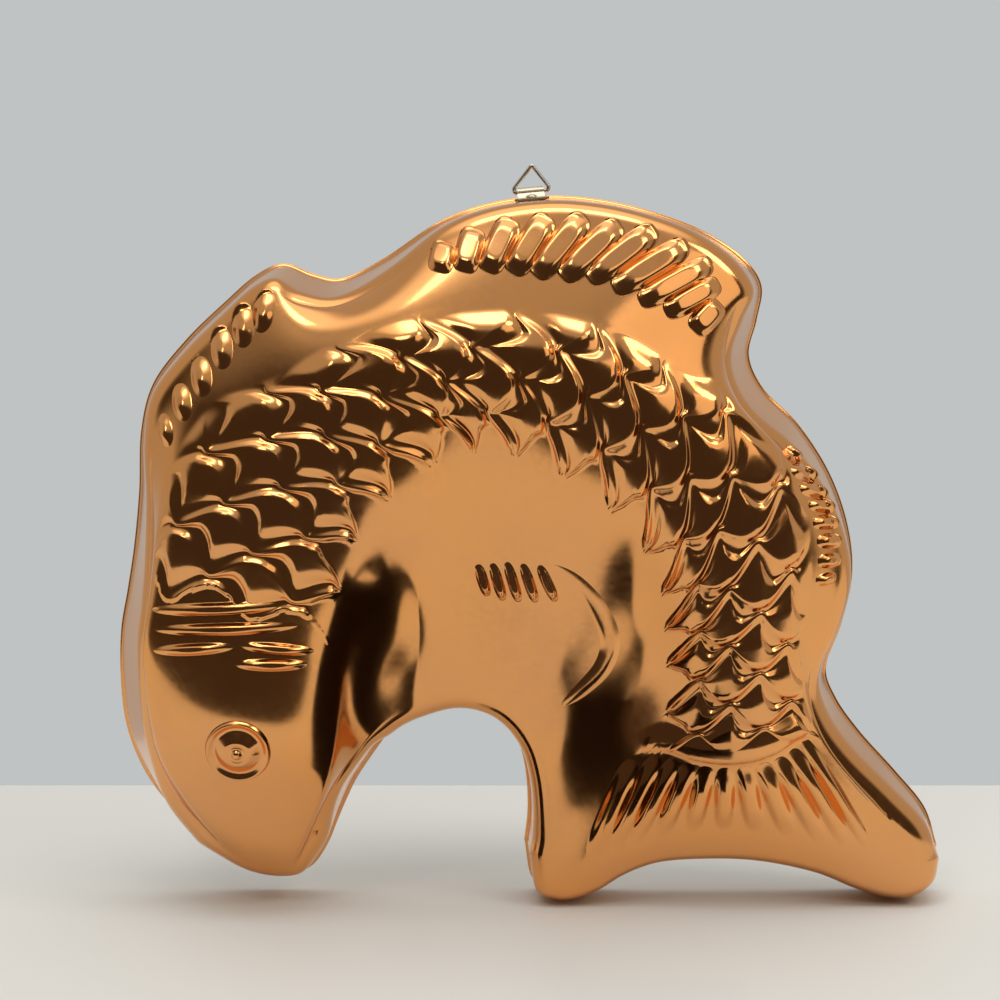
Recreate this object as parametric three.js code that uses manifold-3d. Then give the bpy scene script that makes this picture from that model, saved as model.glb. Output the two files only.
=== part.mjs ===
// A fish-shaped copper cake mould with its hanging ring, in millimetres, +Z up.
// The open back lies in the plane y = 0 and the pressed fish faces -Y.
// The origin is where a nail bears, inside the top of the ring.
import * as THREE from "three";
import { mergeVertices, toCreasedNormals } from "three/addons/utils/BufferGeometryUtils.js";
import Module from "manifold-3d";

// Overall sizes of the shell
const mouldWidth = 284;
const mouldHeight = 241;
const mouldDepth = 58;

// The sheet, its rim, walls and shoulders
const sheetThickness = 1;
const rimLipWidth = 1.6;
const rimLipThickness = 1.4;
const shoulderRadius = 3;

// The pressed pattern
const scaleLength = 22.3;
const scaleRowWidth = 13;
const rowsOfScales = 4.5;
const scaleRise = 2.4;
const scaleStepWidth = 2.5;
const chainSwing = 0.16;
const dorsalRise = 2.2;
const cheekFinRise = 1.9;
const rearFinRise = 1.8;
const gillRise = 1.8;
const bellyFinRise = 1.4;
const tailLipRise = 1.4;
const tailRayRise = 1.3;
const tailRayWidth = 4.6;
const tailRays = 9;
const eyeRadius = 8;
const eyeRise = 1.5;
const pupilRadius = 2.2;

// The hanger
const hangerStation = 19.72;
const wireDiameter = 1.4;
const ringWidth = 15.8;
const ringHeight = 10.4;
const ringApexShift = 1.2;
const ringCornerRadius = 1.2;
const ringApexRadius = 0.6;
const strapFrontWidth = 11.6;
const strapLoopWidth = 8.6;
const strapLength = 15;
const strapThickness = 0.7;
const rivetShankRadius = 1;
const rivetHeadRadius = 1.9;
const rivetHeadHeight = 0.9;
const loopLift = 1.4;
const rivetFromFront = 6;
const gap = 0.3;

// The fish drawn flat, with x and z from the middle of the drawing. The back runs from the
// jaw up over the fins to the tip of the tail, one point to a station.
const backOutline = [
  [-106, -117], [-117.5, -105], [-125, -93], [-130, -78], [-131.5, -61],
  [-131, -45], [-128.5, -31], [-126, -15.5], [-124, 3.5], [-123, 24],
  [-118.5, 40.5], [-107, 55.5], [-93.5, 68.5], [-83, 77.5], [-73.5, 81.5],
  [-63.5, 78], [-53.5, 76.5], [-39, 83.5], [-21, 95.5], [-3.5, 102],
  [16, 104.5], [34, 103.2], [51, 99.3], [68, 93], [82, 84],
  [89, 74], [87.5, 62], [85, 50], [90.2, 38.4], [102.2, 26.2],
  [113, 9.6], [119.6, -8.5], [121.5, -26], [118, -43.5], [113, -58.5],
  [116.5, -69.5], [125, -81.5], [137.5, -95.5], [148, -108.5], [152.5, -122],
];

// The belly side, along the inside of the legs and the arch: station, x, z.
const archOutline = [
  [0, -56.5, -113], [1, -54, -107], [2, -50, -98.5], [3.2, -44.5, -90], [4.5, -39, -82.5],
  [6.5, -32.5, -76.5], [9, -25, -73], [13, -15, -70.5], [20, -5.5, -72], [25, 1, -76.5],
  [29, 6, -84], [32, 8.5, -93], [34.5, 9.5, -102], [37, 9.5, -111], [39, 8.5, -120],
];

// The snout and the hem of the tail, from the back to the belly: share of the way, x, z.
const snoutOutline = [
  [0, -106, -117], [0.16, -99.5, -123.5], [0.32, -91.5, -129], [0.48, -83, -132], [0.64, -73.5, -132.5],
  [0.78, -65.5, -129.5], [0.9, -60, -121.5], [1, -56.5, -113],
];
const tailOutline = [
  [0, 152.5, -122], [0.08, 150.5, -131.5], [0.15, 143, -137.5], [0.22, 133.5, -138], [0.3, 121.5, -134.2],
  [0.37, 107, -128.2], [0.45, 88, -124.2], [0.53, 70, -123.4], [0.6, 54.5, -124.5], [0.66, 43.5, -128.5],
  [0.73, 35, -134], [0.8, 26.5, -137.7], [0.87, 18.5, -138], [0.94, 11, -133.5], [1, 8.5, -120],
];

// How far the shoulders of the walls stand out from the open back, by station.
const backHeights = [[0, 25], [3, 31], [8, 35], [14, 36], [25, 36], [31, 34], [35, 31], [39, 26]];
const archHeights = [[0, 25], [2, 27], [6, 29], [13, 28], [30, 28], [39, 26]];

// How far in from the rim the shoulders are, by station: the walls lean by this much.
const backInsets = [
  [0, 9], [3, 13], [6, 11.5], [9, 8.5], [13, 8], [15, 9], [17.5, 6.5], [22, 6.5], [25, 11],
  [27, 12], [29.5, 9], [33, 9.5], [36, 12], [39, 10],
];
const archInsets = [[0, 8], [4, 7], [35, 7], [39, 8]];
const tailInsets = [[0, 10], [0.15, 10], [0.37, 6], [0.53, 5], [0.66, 5.5], [0.8, 7.5], [1, 8]];

// Three lines along the body, where the scales begin, at its ridge and where the scales end:
// station, x, z and how far out.
const scaleOuterRail = [
  [0, -93, -107.5, 27], [2.5, -112.5, -85, 36], [5, -118.5, -41.5, 42], [6, -115.5, -28, 43],
  [8, -110, 4, 45], [10, -97.5, 28.5, 46], [12, -77, 46.5, 47], [14, -63, 55.5, 48],
  [16, -47.5, 63, 49], [18, -25.5, 69.5, 50], [20, 9.5, 71.5, 50], [22, 34, 67, 50],
  [24, 50, 58, 49], [26, 64.5, 49, 48], [28, 79.5, 35, 46], [30, 97, 12, 43],
  [32, 100.5, -18, 41], [34, 99.5, -47, 38], [36, 103, -70.5, 34], [37.5, 108.5, -86, 31],
  [39, 118.5, -116.5, 27],
];
const ridgeRail = [
  [0, -80.5, -112, 27], [2.5, -84.5, -85, 42], [5, -85.5, -45, 50], [6, -85, -33, 51],
  [8, -82, -6.5, 54], [10, -69.5, 16.5, 55], [12, -56, 31, 56], [14, -45.5, 39.5, 57],
  [16, -33.5, 44, 57], [18, -17, 47.5, 58], [20, 9.5, 48.5, 58], [22, 29, 43, 58],
  [24, 42.5, 35.5, 57], [26, 54, 26.5, 56], [28, 64.5, 13, 54], [30, 72.5, -2, 51],
  [32, 77, -22, 47], [34, 77.5, -44.5, 43], [36, 79, -71, 38], [37.5, 79.5, -88.5, 34],
  [39, 80, -114.5, 28],
];
const scaleInnerRail = [
  [0, -66, -112, 27], [2.5, -57, -89.5, 37], [5, -54.5, -54, 45], [6, -54.5, -44, 46],
  [8, -50.5, -18.5, 49], [10, -44, -1, 50], [12, -33, 10, 51], [14, -24.5, 17.5, 51],
  [16, -15.5, 22.5, 51], [18, -6.5, 24, 51], [20, 8, 22, 51], [22, 22.5, 14.5, 51],
  [24, 34.5, 6, 50], [26, 43, -2, 49], [28, 50.5, -14, 47], [30, 55, -26, 45],
  [32, 55.5, -38, 42], [34, 56.5, -52, 39], [36, 55.5, -75, 35], [37.5, 52, -91, 32],
  [39, 37.5, -116.5, 27],
];

const lastStation = backOutline.length - 1;

// Where the scales of the middle row have their centres: the scale's number and its station.
const scaleCentres = [
  [-4, 1.6], [-3, 3.3], [-2, 5.05], [-1, 6.8], [0, 8.55], [1, 10.52], [2, 12.96], [3, 16.71],
  [4, 18.69], [5, 20.68], [6, 23.02], [7, 26], [8, 28.67], [9, 30.84], [10, 32.84], [11, 34.5],
  [12, 36.05], [13, 37.5], [14, 39],
];
const firstChain = -3;
const lastChain = 24;
const headColumns = 6;
const tailColumns = 5;
const scalesEnd = 36.4;

// Rows across the body: the fins, two for each row of scales, and the belly.
const railRows = [0, 4, 10, 16, 22];
const scaleLineRows = 12 / rowsOfScales;
const rows = [0, 2, 4];
for (let k = 0; k < 2 * rowsOfScales; k += 1) rows.push(4 + scaleLineRows * (0.45 + k / 2));
rows.push(16.6, 19, 22);
const rowCount = rows.length - 1;

// Where the rows end on the hem of the tail and on the snout, as shares of those outlines.
const tailShares = [0, 0.06, 0.11, 0.16, 0.22, 0.3, 0.4, 0.5, 0.6, 0.68, 0.75, 0.81, 0.87, 0.93, 1];
const snoutShares = [0, 0.1, 0.19, 0.27, 0.35, 0.43, 0.5, 0.57, 0.64, 0.7, 0.76, 0.82, 0.88, 0.94, 1];

// Raised bars of the fins, the gills and the belly fin in the drawing: start, end, half width.
const dorsalBars = [
  [[-16.5, 89], [-19, 82.5], 2.8], [[-8, 92.5], [-12, 82.5], 2.8], [[3.5, 95.5], [-5, 82], 2.8],
  [[15.5, 96.5], [2.5, 82], 2.8], [[27, 96.5], [10.5, 81.5], 2.8], [[38.5, 94.5], [19.5, 81], 2.8],
  [[50, 93], [28.5, 81], 2.8], [[60.5, 87], [35.5, 78], 2.8], [[68, 81.5], [44, 74], 2.8],
  [[70.5, 75.5], [53, 70.5], 2.8], [[69.5, 69], [63.5, 62.5], 3.4],
];
const cheekFinBars = [
  [[-76.5, 71.5], [-76, 62.5], 3.1], [[-84.5, 68.5], [-83, 58.5], 3.1], [[-92, 62], [-88.5, 53], 2.9],
  [[-99, 52.5], [-95.5, 43.5], 3.1], [[-104.5, 44.5], [-101, 37], 2.8], [[-108, 36.5], [-105.5, 30.5], 2.4],
];
const rearFinBars = [
  [[96.5, 15], [103.5, 12], 2.3], [[99.5, 9], [106.5, 6.5], 2.3], [[103.5, 3.5], [109, 2.5], 2.3],
  [[104.5, -2], [110.5, -3], 2.3], [[106.5, -9], [112, -10], 2.5], [[107, -16.5], [112.5, -16.5], 2.5],
  [[106.5, -23], [111.5, -22], 2.1],
];
const gillBars = [
  [[-114, -32], [-71, -29], 2.1], [[-111, -43.5], [-82.5, -41], 2.1], [[-79, -41.5], [-61.5, -43.5], 2.1],
  [[-83.5, -49.5], [-65.5, -51], 2.1],
];
const bellyFinBars = [
  [[-8, -17.5], [-5, -27.5], 1.7], [[-2.5, -17], [1.5, -30.5], 1.7], [[2.5, -16], [7, -31.5], 1.7],
  [[7.5, -17.5], [12.5, -32], 1.7], [[12.5, -17.5], [20, -30.5], 1.7],
];
const tailLipStation = 37;
const eyePlace = [-87, -79];

// A smooth track through keys of a place and one or more values.
function track(keys) {
  const places = keys.map((key) => key[0]);
  const count = keys[0].length - 1;
  return (place) => {
    let k = 0;
    while (k < places.length - 2 && place > places[k + 1]) k += 1;
    const span = places[k + 1] - places[k];
    const u = (place - places[k]) / span;
    const values = [];
    for (let c = 1; c <= count; c += 1) {
      const slopeAt = (m) => {
        const low = Math.max(m - 1, 0);
        const high = Math.min(m + 1, keys.length - 1);
        return (keys[high][c] - keys[low][c]) / (places[high] - places[low]);
      };
      const a = keys[k][c];
      const b = keys[k + 1][c];
      const startTangent = slopeAt(k) * span;
      const endTangent = slopeAt(k + 1) * span;
      const u2 = u * u;
      const u3 = u2 * u;
      values.push(
        (2 * u3 - 3 * u2 + 1) * a + (u3 - 2 * u2 + u) * startTangent
          + (3 * u2 - 2 * u3) * b + (u3 - u2) * endTangent,
      );
    }
    return count === 1 ? values[0] : values;
  };
}

// The drawing is stretched to the overall sizes.
function extent(axis) {
  const all = [...backOutline, ...tailOutline.map((key) => key.slice(1)), ...snoutOutline.map((key) => key.slice(1))];
  const values = all.map((point) => point[axis]);
  return Math.max(...values) - Math.min(...values);
}
const stretchX = mouldWidth / extent(0);
const stretchZ = mouldHeight / extent(1);
const stretchDepth = mouldDepth / Math.max(...ridgeRail.map((key) => key[3]));
const placed = ([x, z]) => new THREE.Vector2(x * stretchX, z * stretchZ);

const backTrack = track(backOutline.map((point, station) => [station, ...point]));
const archTrack = track(archOutline);
const snoutTrack = track(snoutOutline);
const tailTrack = track(tailOutline);
const backHeight = track(backHeights);
const archHeight = track(archHeights);
const backInset = track(backInsets);
const archInset = track(archInsets);
const tailInset = track(tailInsets);
const bodyRails = [scaleOuterRail, ridgeRail, scaleInnerRail].map(track);
const stationOfScale = track(scaleCentres);
const scaleOfStation = track(scaleCentres.map(([scale, station]) => [station, scale]));

// The scales lie in zigzag chains across the body. Each chain is the free edge of its scales:
// a bulge towards the tail on every second row, and a cusp on the rows between.
const acrossOf = (row) => (row - railRows[1]) / scaleLineRows;
function bulge(chain, across) {
  const offset = 0.45 + Math.abs(chain % 2);
  return Math.abs(Math.cos((Math.PI / 2) * (across - offset)));
}
const chainPlace = (chain, across) => chain / 2 + 0.25 + chainSwing * (2 * bulge(chain, across) - 1);
const chainMiddle = (chain) => stationOfScale(chain / 2 + 0.25);
function stepWidthAt(chain, across) {
  const nudge = 0.02;
  const rise = (chainPlace(chain, across + nudge) - chainPlace(chain, across)) / nudge;
  const lean = (rise * scaleLength) / scaleRowWidth;
  const room = chainPlace(chain + 1, across) - chainPlace(chain, across);
  return Math.min((scaleStepWidth * Math.hypot(1, lean)) / scaleLength, 0.6 * room);
}

// Columns: even stations at the rim, and among the scales three to a chain, which are its
// free edge, the foot of its step and the middle of the scales that follow.
const columns = [];
for (let k = 0; k < headColumns; k += 1) {
  columns.push({ even: (chainMiddle(firstChain) * k) / headColumns, share: k / headColumns });
}
for (let chain = firstChain; chain < lastChain; chain += 1) {
  const from = chainMiddle(chain);
  const to = chainMiddle(chain + 1);
  for (let k = 0; k < 3; k += 1) columns.push({ even: from + ((to - from) * k) / 3, chain, k });
}
for (let k = 0; k <= tailColumns; k += 1) {
  const from = chainMiddle(lastChain);
  columns.push({ even: from + ((lastStation - from) * k) / tailColumns, share: k / tailColumns });
}
const columnCount = columns.length - 1;

function stationAt(i, j) {
  const { even, chain, k, share } = columns[i];
  const follow = THREE.MathUtils.smoothstep(rows[j], 2, 4) * THREE.MathUtils.smoothstep(-rows[j], -19, -16.6);
  if (follow === 0) return even;
  const across = acrossOf(rows[j]);
  let own;
  if (chain === undefined && i < headColumns) {
    own = share * stationOfScale(chainPlace(firstChain, across));
  } else if (chain === undefined) {
    own = THREE.MathUtils.lerp(stationOfScale(chainPlace(lastChain, across)), lastStation, share);
  } else {
    const start = chainPlace(chain, across);
    const foot = start + stepWidthAt(chain, across);
    const middle = (foot + chainPlace(chain + 1, across)) / 2;
    own = stationOfScale([start, foot, middle][k]);
  }
  return THREE.MathUtils.lerp(even, own, follow);
}

// The closed outline: the back, the hem of the tail, the belly backwards and the snout backwards.
const perimeter = [];
for (let i = 0; i < columnCount; i += 1) {
  const { even } = columns[i];
  perimeter.push({ point: placed(backTrack(even)), edge: backHeight(even), inset: backInset(even) });
}
for (let j = 0; j < rowCount; j += 1) {
  const share = tailShares[j];
  const edge = THREE.MathUtils.lerp(backHeight(lastStation), archHeight(lastStation), share);
  perimeter.push({ point: placed(tailTrack(share)), edge, inset: tailInset(share) });
}
for (let i = columnCount; i > 0; i -= 1) {
  const { even } = columns[i];
  perimeter.push({ point: placed(archTrack(even)), edge: archHeight(even), inset: archInset(even) });
}
for (let j = rowCount; j > 0; j -= 1) {
  const share = snoutShares[j];
  const edge = THREE.MathUtils.lerp(backHeight(0), archHeight(0), share);
  const inset = THREE.MathUtils.lerp(backInset(0), archInset(0), share);
  perimeter.push({ point: placed(snoutTrack(share)), edge, inset });
}
const rimCount = perimeter.length;
for (const spot of perimeter) spot.edge *= stretchDepth;

// Inward directions, evened out along the rim so that the walls close up softly at the corners.
let inward = perimeter.map((spot, k) => {
  const before = perimeter[(k + rimCount - 1) % rimCount].point;
  const after = perimeter[(k + 1) % rimCount].point;
  const along = after.clone().sub(before).normalize();
  return new THREE.Vector2(along.y, -along.x);
});
const evenings = 3;
for (let pass = 0; pass < evenings; pass += 1) {
  inward = inward.map((direction, k) => {
    const before = inward[(k + rimCount - 1) % rimCount];
    const after = inward[(k + 1) % rimCount];
    return direction.clone().multiplyScalar(2).add(before).add(after).divideScalar(4);
  });
}

const wallTop = ({ edge, inset }) => [inset - shoulderRadius, edge - shoulderRadius];
const wallLean = (spot) => Math.atan2(wallTop(spot)[0] - rimLipWidth, wallTop(spot)[1] - rimLipThickness);

function rimPoint(k, inset) {
  return perimeter[k].point.clone().addScaledVector(inward[k], inset);
}

// The face between the shoulders. A crossing of the body runs over five points: the shoulder
// on the back, the three body lines and the shoulder in the arch.
const faceEdge = perimeter.map((spot, k) => rimPoint(k, spot.inset));
const backSide = (i) => i;
const tailSide = (j) => columnCount + j;
const archSide = (i) => columnCount + rowCount + (columnCount - i);
const snoutSide = (j) => (2 * columnCount + rowCount + (rowCount - j)) % rimCount;

function betweenColumns(side, station) {
  let i = 0;
  while (i < columnCount - 1 && station > columns[i + 1].even) i += 1;
  const share = (station - columns[i].even) / (columns[i + 1].even - columns[i].even);
  const [low, high] = [side(i), side(i + 1)];
  const point = faceEdge[low].clone().lerp(faceEdge[high], share);
  return { point, edge: THREE.MathUtils.lerp(perimeter[low].edge, perimeter[high].edge, share) };
}

function onCrossing(station, row) {
  const ends = [betweenColumns(backSide, station), betweenColumns(archSide, station)];
  const rails = bodyRails.map((rail) => rail(station));
  const points = [ends[0].point, ...rails.map(placed), ends[1].point];
  const heights = [ends[0].edge, ...rails.map((rail) => rail[2] * stretchDepth), ends[1].edge];
  const distances = [0];
  for (let k = 1; k < points.length; k += 1) distances.push(distances[k - 1] + points[k].distanceTo(points[k - 1]));
  let k = 0;
  while (k < railRows.length - 2 && row > railRows[k + 1]) k += 1;
  const share = (row - railRows[k]) / (railRows[k + 1] - railRows[k]);
  const distance = distances[k] + share * (distances[k + 1] - distances[k]);
  const height = track(distances.map((place, m) => [place, heights[m]]))(distance);
  return { point: points[k].clone().lerp(points[k + 1], share), height };
}

// Near the snout and the hem of the tail the crossings bend to follow the outline.
const snoutReach = 4.3;
const tailReach = 2.8;
const snoutShifts = rows.map((row, j) => faceEdge[snoutSide(j)].clone().sub(onCrossing(0, row).point));
const tailShifts = rows.map((row, j) => faceEdge[tailSide(j)].clone().sub(onCrossing(lastStation, row).point));
function bodyPoint(station, j) {
  const { point, height } = onCrossing(station, rows[j]);
  point.addScaledVector(snoutShifts[j], Math.max(0, 1 - station / snoutReach) ** 2);
  point.addScaledVector(tailShifts[j], Math.max(0, 1 - (lastStation - station) / tailReach) ** 2);
  return { point, height, station };
}
const facePoint = (i, j) => bodyPoint(stationAt(i, j), j);

const faceGrid = columns.map((column, i) => rows.map((row, j) => facePoint(i, j)));

// The scales at one place: each rises towards its free edge and drops in a short step.
function scaleRelief(station, row) {
  const across = acrossOf(row);
  const along = scaleOfStation(station);
  let chain = firstChain;
  if (along < chainPlace(chain, across) - 1e-6 || station > scalesEnd) return 0;
  while (chain < lastChain - 1 && along > chainPlace(chain + 1, across) - 1e-6) chain += 1;
  const start = chainPlace(chain, across);
  const end = chainPlace(chain + 1, across);
  const width = stepWidthAt(chain, across);
  const edgeRise = (which) => scaleRise * (0.45 + 0.55 * bulge(which, across));
  const fall = (along - start) / width;
  const rest = THREE.MathUtils.clamp((along - start - width) / (end - start - width), 0, 1);
  const dome = 0.5 * THREE.MathUtils.smoothstep(rest, 0, 0.35) + 0.5 * rest;
  return edgeRise(chain) * Math.max(0, 1 - fall) + edgeRise(chain + 1) * dome;
}

// The pattern that the press adds to the body at one point of the face.
function pattern(i, j, station) {
  if (i === 0 || i === columnCount || j === 0 || j === rowCount) return 0;
  const row = rows[j];
  if (i === columnCount - tailColumns + 1 && row > 3 && row < 19) return tailLipRise;
  if (row >= railRows[1] && row <= railRows[3]) return scaleRelief(station, row);
  return 0;
}

// One closed sheet: rings of points up the outer wall, the patterned face, the same face one
// thickness behind it, and the inner wall back down to the open side.
function shellGeometry() {
  const positions = [];
  const triangles = [];
  const addPoint = (point, height) => {
    positions.push(point.x, -height, point.y);
    return positions.length / 3 - 1;
  };
  const ring = (inset, height) => perimeter.map((spot, k) => addPoint(rimPoint(k, inset(spot)), height(spot)));
  const face = (depth, edgeRing) => {
    const rows = [];
    for (let i = 0; i <= columnCount; i += 1) {
      const row = [];
      for (let j = 0; j <= rowCount; j += 1) {
        if (j === 0) row.push(edgeRing[backSide(i)]);
        else if (i === columnCount) row.push(edgeRing[tailSide(j)]);
        else if (j === rowCount) row.push(edgeRing[archSide(i)]);
        else if (i === 0) row.push(edgeRing[snoutSide(j)]);
        else {
          const { point, height, station } = faceGrid[i][j];
          row.push(addPoint(point, height + pattern(i, j, station) - depth));
        }
      }
      rows.push(row);
    }
    return rows;
  };
  const quad = (a, b, c, d) => triangles.push(a, c, b, a, d, c);
  const band = (low, high) => {
    for (let k = 0; k < rimCount; k += 1) {
      const next = (k + 1) % rimCount;
      quad(low[k], low[next], high[next], high[k]);
    }
  };
  const cover = (rows, outside) => {
    for (let i = 0; i < columnCount; i += 1) {
      for (let j = 0; j < rowCount; j += 1) {
        const corners = [rows[i][j], rows[i + 1][j], rows[i + 1][j + 1], rows[i][j + 1]];
        if (!outside) corners.reverse();
        quad(...corners);
      }
    }
  };

  const arcInset = shoulderRadius * (1 - Math.SQRT1_2);
  const outerRings = [
    ring(() => 0, () => 0),
    ring(() => 0, () => rimLipThickness),
    ring(() => rimLipWidth, () => rimLipThickness),
    ring((spot) => wallTop(spot)[0], (spot) => wallTop(spot)[1]),
    ring((spot) => wallTop(spot)[0] + arcInset, (spot) => spot.edge - arcInset),
    ring((spot) => spot.inset, (spot) => spot.edge),
  ];
  const innerShoulder = shoulderRadius - sheetThickness;
  const innerFoot = (spot) => rimLipWidth - Math.tan(wallLean(spot)) * rimLipThickness + sheetThickness;
  const innerRings = [
    ring((spot) => spot.inset, (spot) => spot.edge - sheetThickness),
    ring((spot) => wallTop(spot)[0] + sheetThickness, (spot) => spot.edge - sheetThickness - innerShoulder),
    ring(innerFoot, () => 0),
  ];
  for (let k = 0; k + 1 < outerRings.length; k += 1) band(outerRings[k], outerRings[k + 1]);
  cover(face(0, outerRings.at(-1)), true);
  cover(face(sheetThickness, innerRings[0]), false);
  for (let k = 0; k + 1 < innerRings.length; k += 1) band(innerRings[k], innerRings[k + 1]);
  band(innerRings.at(-1), outerRings[0]);

  const geometry = new THREE.BufferGeometry();
  geometry.setAttribute("position", new THREE.Float32BufferAttribute(positions, 3));
  geometry.setIndex(triangles);
  return geometry;
}

// Joining and cutting of closed solids
const wasm = await Module();
wasm.setup();

function toSolid(geometry) {
  const bare = geometry.clone();
  bare.deleteAttribute("normal");
  bare.deleteAttribute("uv");
  const merged = mergeVertices(bare, 1e-4);
  return new wasm.Manifold(new wasm.Mesh({
    numProp: 3,
    vertProperties: new Float32Array(merged.attributes.position.array),
    triVerts: new Uint32Array(merged.index.array),
  }));
}

function toGeometry(solid) {
  const mesh = solid.getMesh();
  const geometry = new THREE.BufferGeometry();
  const positions = new Float32Array((mesh.vertProperties.length / mesh.numProp) * 3);
  for (let v = 0; v * 3 < positions.length; v += 1) {
    for (let c = 0; c < 3; c += 1) positions[v * 3 + c] = mesh.vertProperties[v * mesh.numProp + c];
  }
  geometry.setAttribute("position", new THREE.BufferAttribute(positions, 3));
  geometry.setIndex(new THREE.BufferAttribute(new Uint32Array(mesh.triVerts), 1));
  return geometry;
}

// Where the hanger sits: on the flat of the wall beside the rim, at its station.
const hangerFoot = (() => {
  const after = columns.findIndex(({ even }) => even > hangerStation);
  const from = columns[after - 1].even;
  const share = (hangerStation - from) / (columns[after].even - from);
  const left = rimPoint(after - 1, rimLipWidth);
  const right = rimPoint(after, rimLipWidth);
  const angle = Math.atan2(right.y - left.y, right.x - left.x);
  return { point: left.lerp(right, share), angle, lean: wallLean(perimeter[after]) };
})();

// The eye: a raised round with a ring and a pupil, stamped into the cheek.
function eyeGeometry() {
  const sunk = sheetThickness / 2;
  const profile = [
    [0, -sunk], [eyeRadius, -sunk], [eyeRadius, eyeRise * 0.5], [eyeRadius * 0.88, eyeRise],
    [eyeRadius * 0.72, eyeRise], [eyeRadius * 0.6, eyeRise * 0.55], [eyeRadius * 0.42, eyeRise * 0.8],
    [pupilRadius, eyeRise * 0.5], [pupilRadius * 0.7, eyeRise * 1.2], [0, eyeRise * 1.4],
  ].map(([r, y]) => new THREE.Vector2(r, y));
  return new THREE.LatheGeometry(profile, 18);
}

function nearestFace(target) {
  let best = { distance: Infinity };
  for (let i = 1; i < columnCount; i += 1) {
    for (let j = 1; j < rowCount; j += 1) {
      const distance = faceGrid[i][j].point.distanceTo(target);
      if (distance < best.distance) best = { distance, i, j };
    }
  }
  const at = (i, j) => {
    const { point, height } = faceGrid[i][j];
    return new THREE.Vector3(point.x, -height, point.y);
  };
  const middle = at(best.i, best.j);
  const along = at(best.i + 1, best.j).sub(at(best.i - 1, best.j));
  const across = at(best.i, best.j + 1).sub(at(best.i, best.j - 1));
  const normal = along.cross(across).normalize();
  if (normal.y > 0) normal.negate();
  const offset = new THREE.Vector3(target.x - middle.x, 0, target.y - middle.z);
  offset.y = -(normal.x * offset.x + normal.z * offset.z) / normal.y;
  return { point: middle.add(offset), normal };
}

// One raised bar: a long hexagon that narrows upwards, with its foot inside the sheet.
const barLevels = [[-sheetThickness / 2, 1.1], [1, 0.5]];
function barSolid(from, to, half, rise) {
  const run = to.clone().sub(from).normalize();
  const side = new THREE.Vector2(-run.y, run.x);
  const corners = [
    [to, -0.6, -0.9], [to, 0, 0], [to, -0.6, 0.9],
    [from, 0.6, 0.9], [from, 0, 0], [from, 0.6, -0.9],
  ];
  const positions = [];
  for (const [level, width] of barLevels) {
    for (const [end, forward, sideways] of corners) {
      const place = end.clone().addScaledVector(run, forward * half);
      if (level > 0) place.addScaledVector(run, (end === to ? -1 : 1) * half * (1 - width));
      place.addScaledVector(side, sideways * half * width);
      const { point, normal } = nearestFace(place);
      point.addScaledVector(normal, level > 0 ? level * rise : level);
      positions.push(point.x, point.y, point.z);
    }
  }
  const count = corners.length;
  const triangles = [];
  for (let level = 0; level + 1 < barLevels.length; level += 1) {
    for (let k = 0; k < count; k += 1) {
      const a = level * count + k;
      const b = level * count + ((k + 1) % count);
      triangles.push(a, b, b + count, a, b + count, a + count);
    }
  }
  const top = (barLevels.length - 1) * count;
  for (let k = 1; k + 1 < count; k += 1) {
    triangles.push(0, k + 1, k, top, top + k, top + k + 1);
  }
  const geometry = new THREE.BufferGeometry();
  geometry.setAttribute("position", new THREE.Float32BufferAttribute(positions, 3));
  geometry.setIndex(triangles);
  return toSolid(geometry);
}

function allBars() {
  const drawn = [
    [dorsalBars, dorsalRise], [cheekFinBars, cheekFinRise], [rearFinBars, rearFinRise],
    [gillBars, gillRise], [bellyFinBars, bellyFinRise],
  ];
  const bars = drawn.flatMap(([list, rise]) => list.map(([from, to, half]) => barSolid(placed(from), placed(to), half, rise)));
  const firstRay = rows.findIndex((row) => row > railRows[1]);
  for (let j = firstRay; j < firstRay + tailRays; j += 1) {
    const from = bodyPoint(tailLipStation + 0.55, j).point;
    const to = bodyPoint(lastStation - 0.5, j).point;
    bars.push(barSolid(from, to, tailRayWidth / 2, tailRayRise));
  }
  return bars;
}

// A round bar or hole from one point to another.
function roundSolid(from, to, radius) {
  const run = to.clone().sub(from);
  const bar = new THREE.CylinderGeometry(radius, radius, run.length(), 24);
  bar.applyQuaternion(new THREE.Quaternion().setFromUnitVectors(new THREE.Vector3(0, 1, 0), run.normalize()));
  const middle = from.clone().add(to).divideScalar(2);
  bar.translate(middle.x, middle.y, middle.z);
  return toSolid(bar);
}

// The hanger's seat: +X along the rim and +Z out of the wall, with the strap's loop at the back.
const seat = new THREE.Group();
seat.position.set(hangerFoot.point.x, -rimLipThickness, hangerFoot.point.y);
seat.rotation.y = -hangerFoot.angle;
const slope = new THREE.Group();
slope.rotation.x = hangerFoot.lean;
seat.add(slope);

const loopRadius = wireDiameter / 2 + gap + strapThickness;
const loopBack = gap;
const barPlace = new THREE.Vector3(0, -(loopBack + loopRadius), gap + loopLift + loopRadius);
const leafRise = 2.5;
const leafFold = 1.1;
const strapFront = -(loopBack + strapLength);
const leafTop = gap + 2 * strapThickness + gap;
const rivetPlace = strapFront + rivetFromFront;

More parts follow.
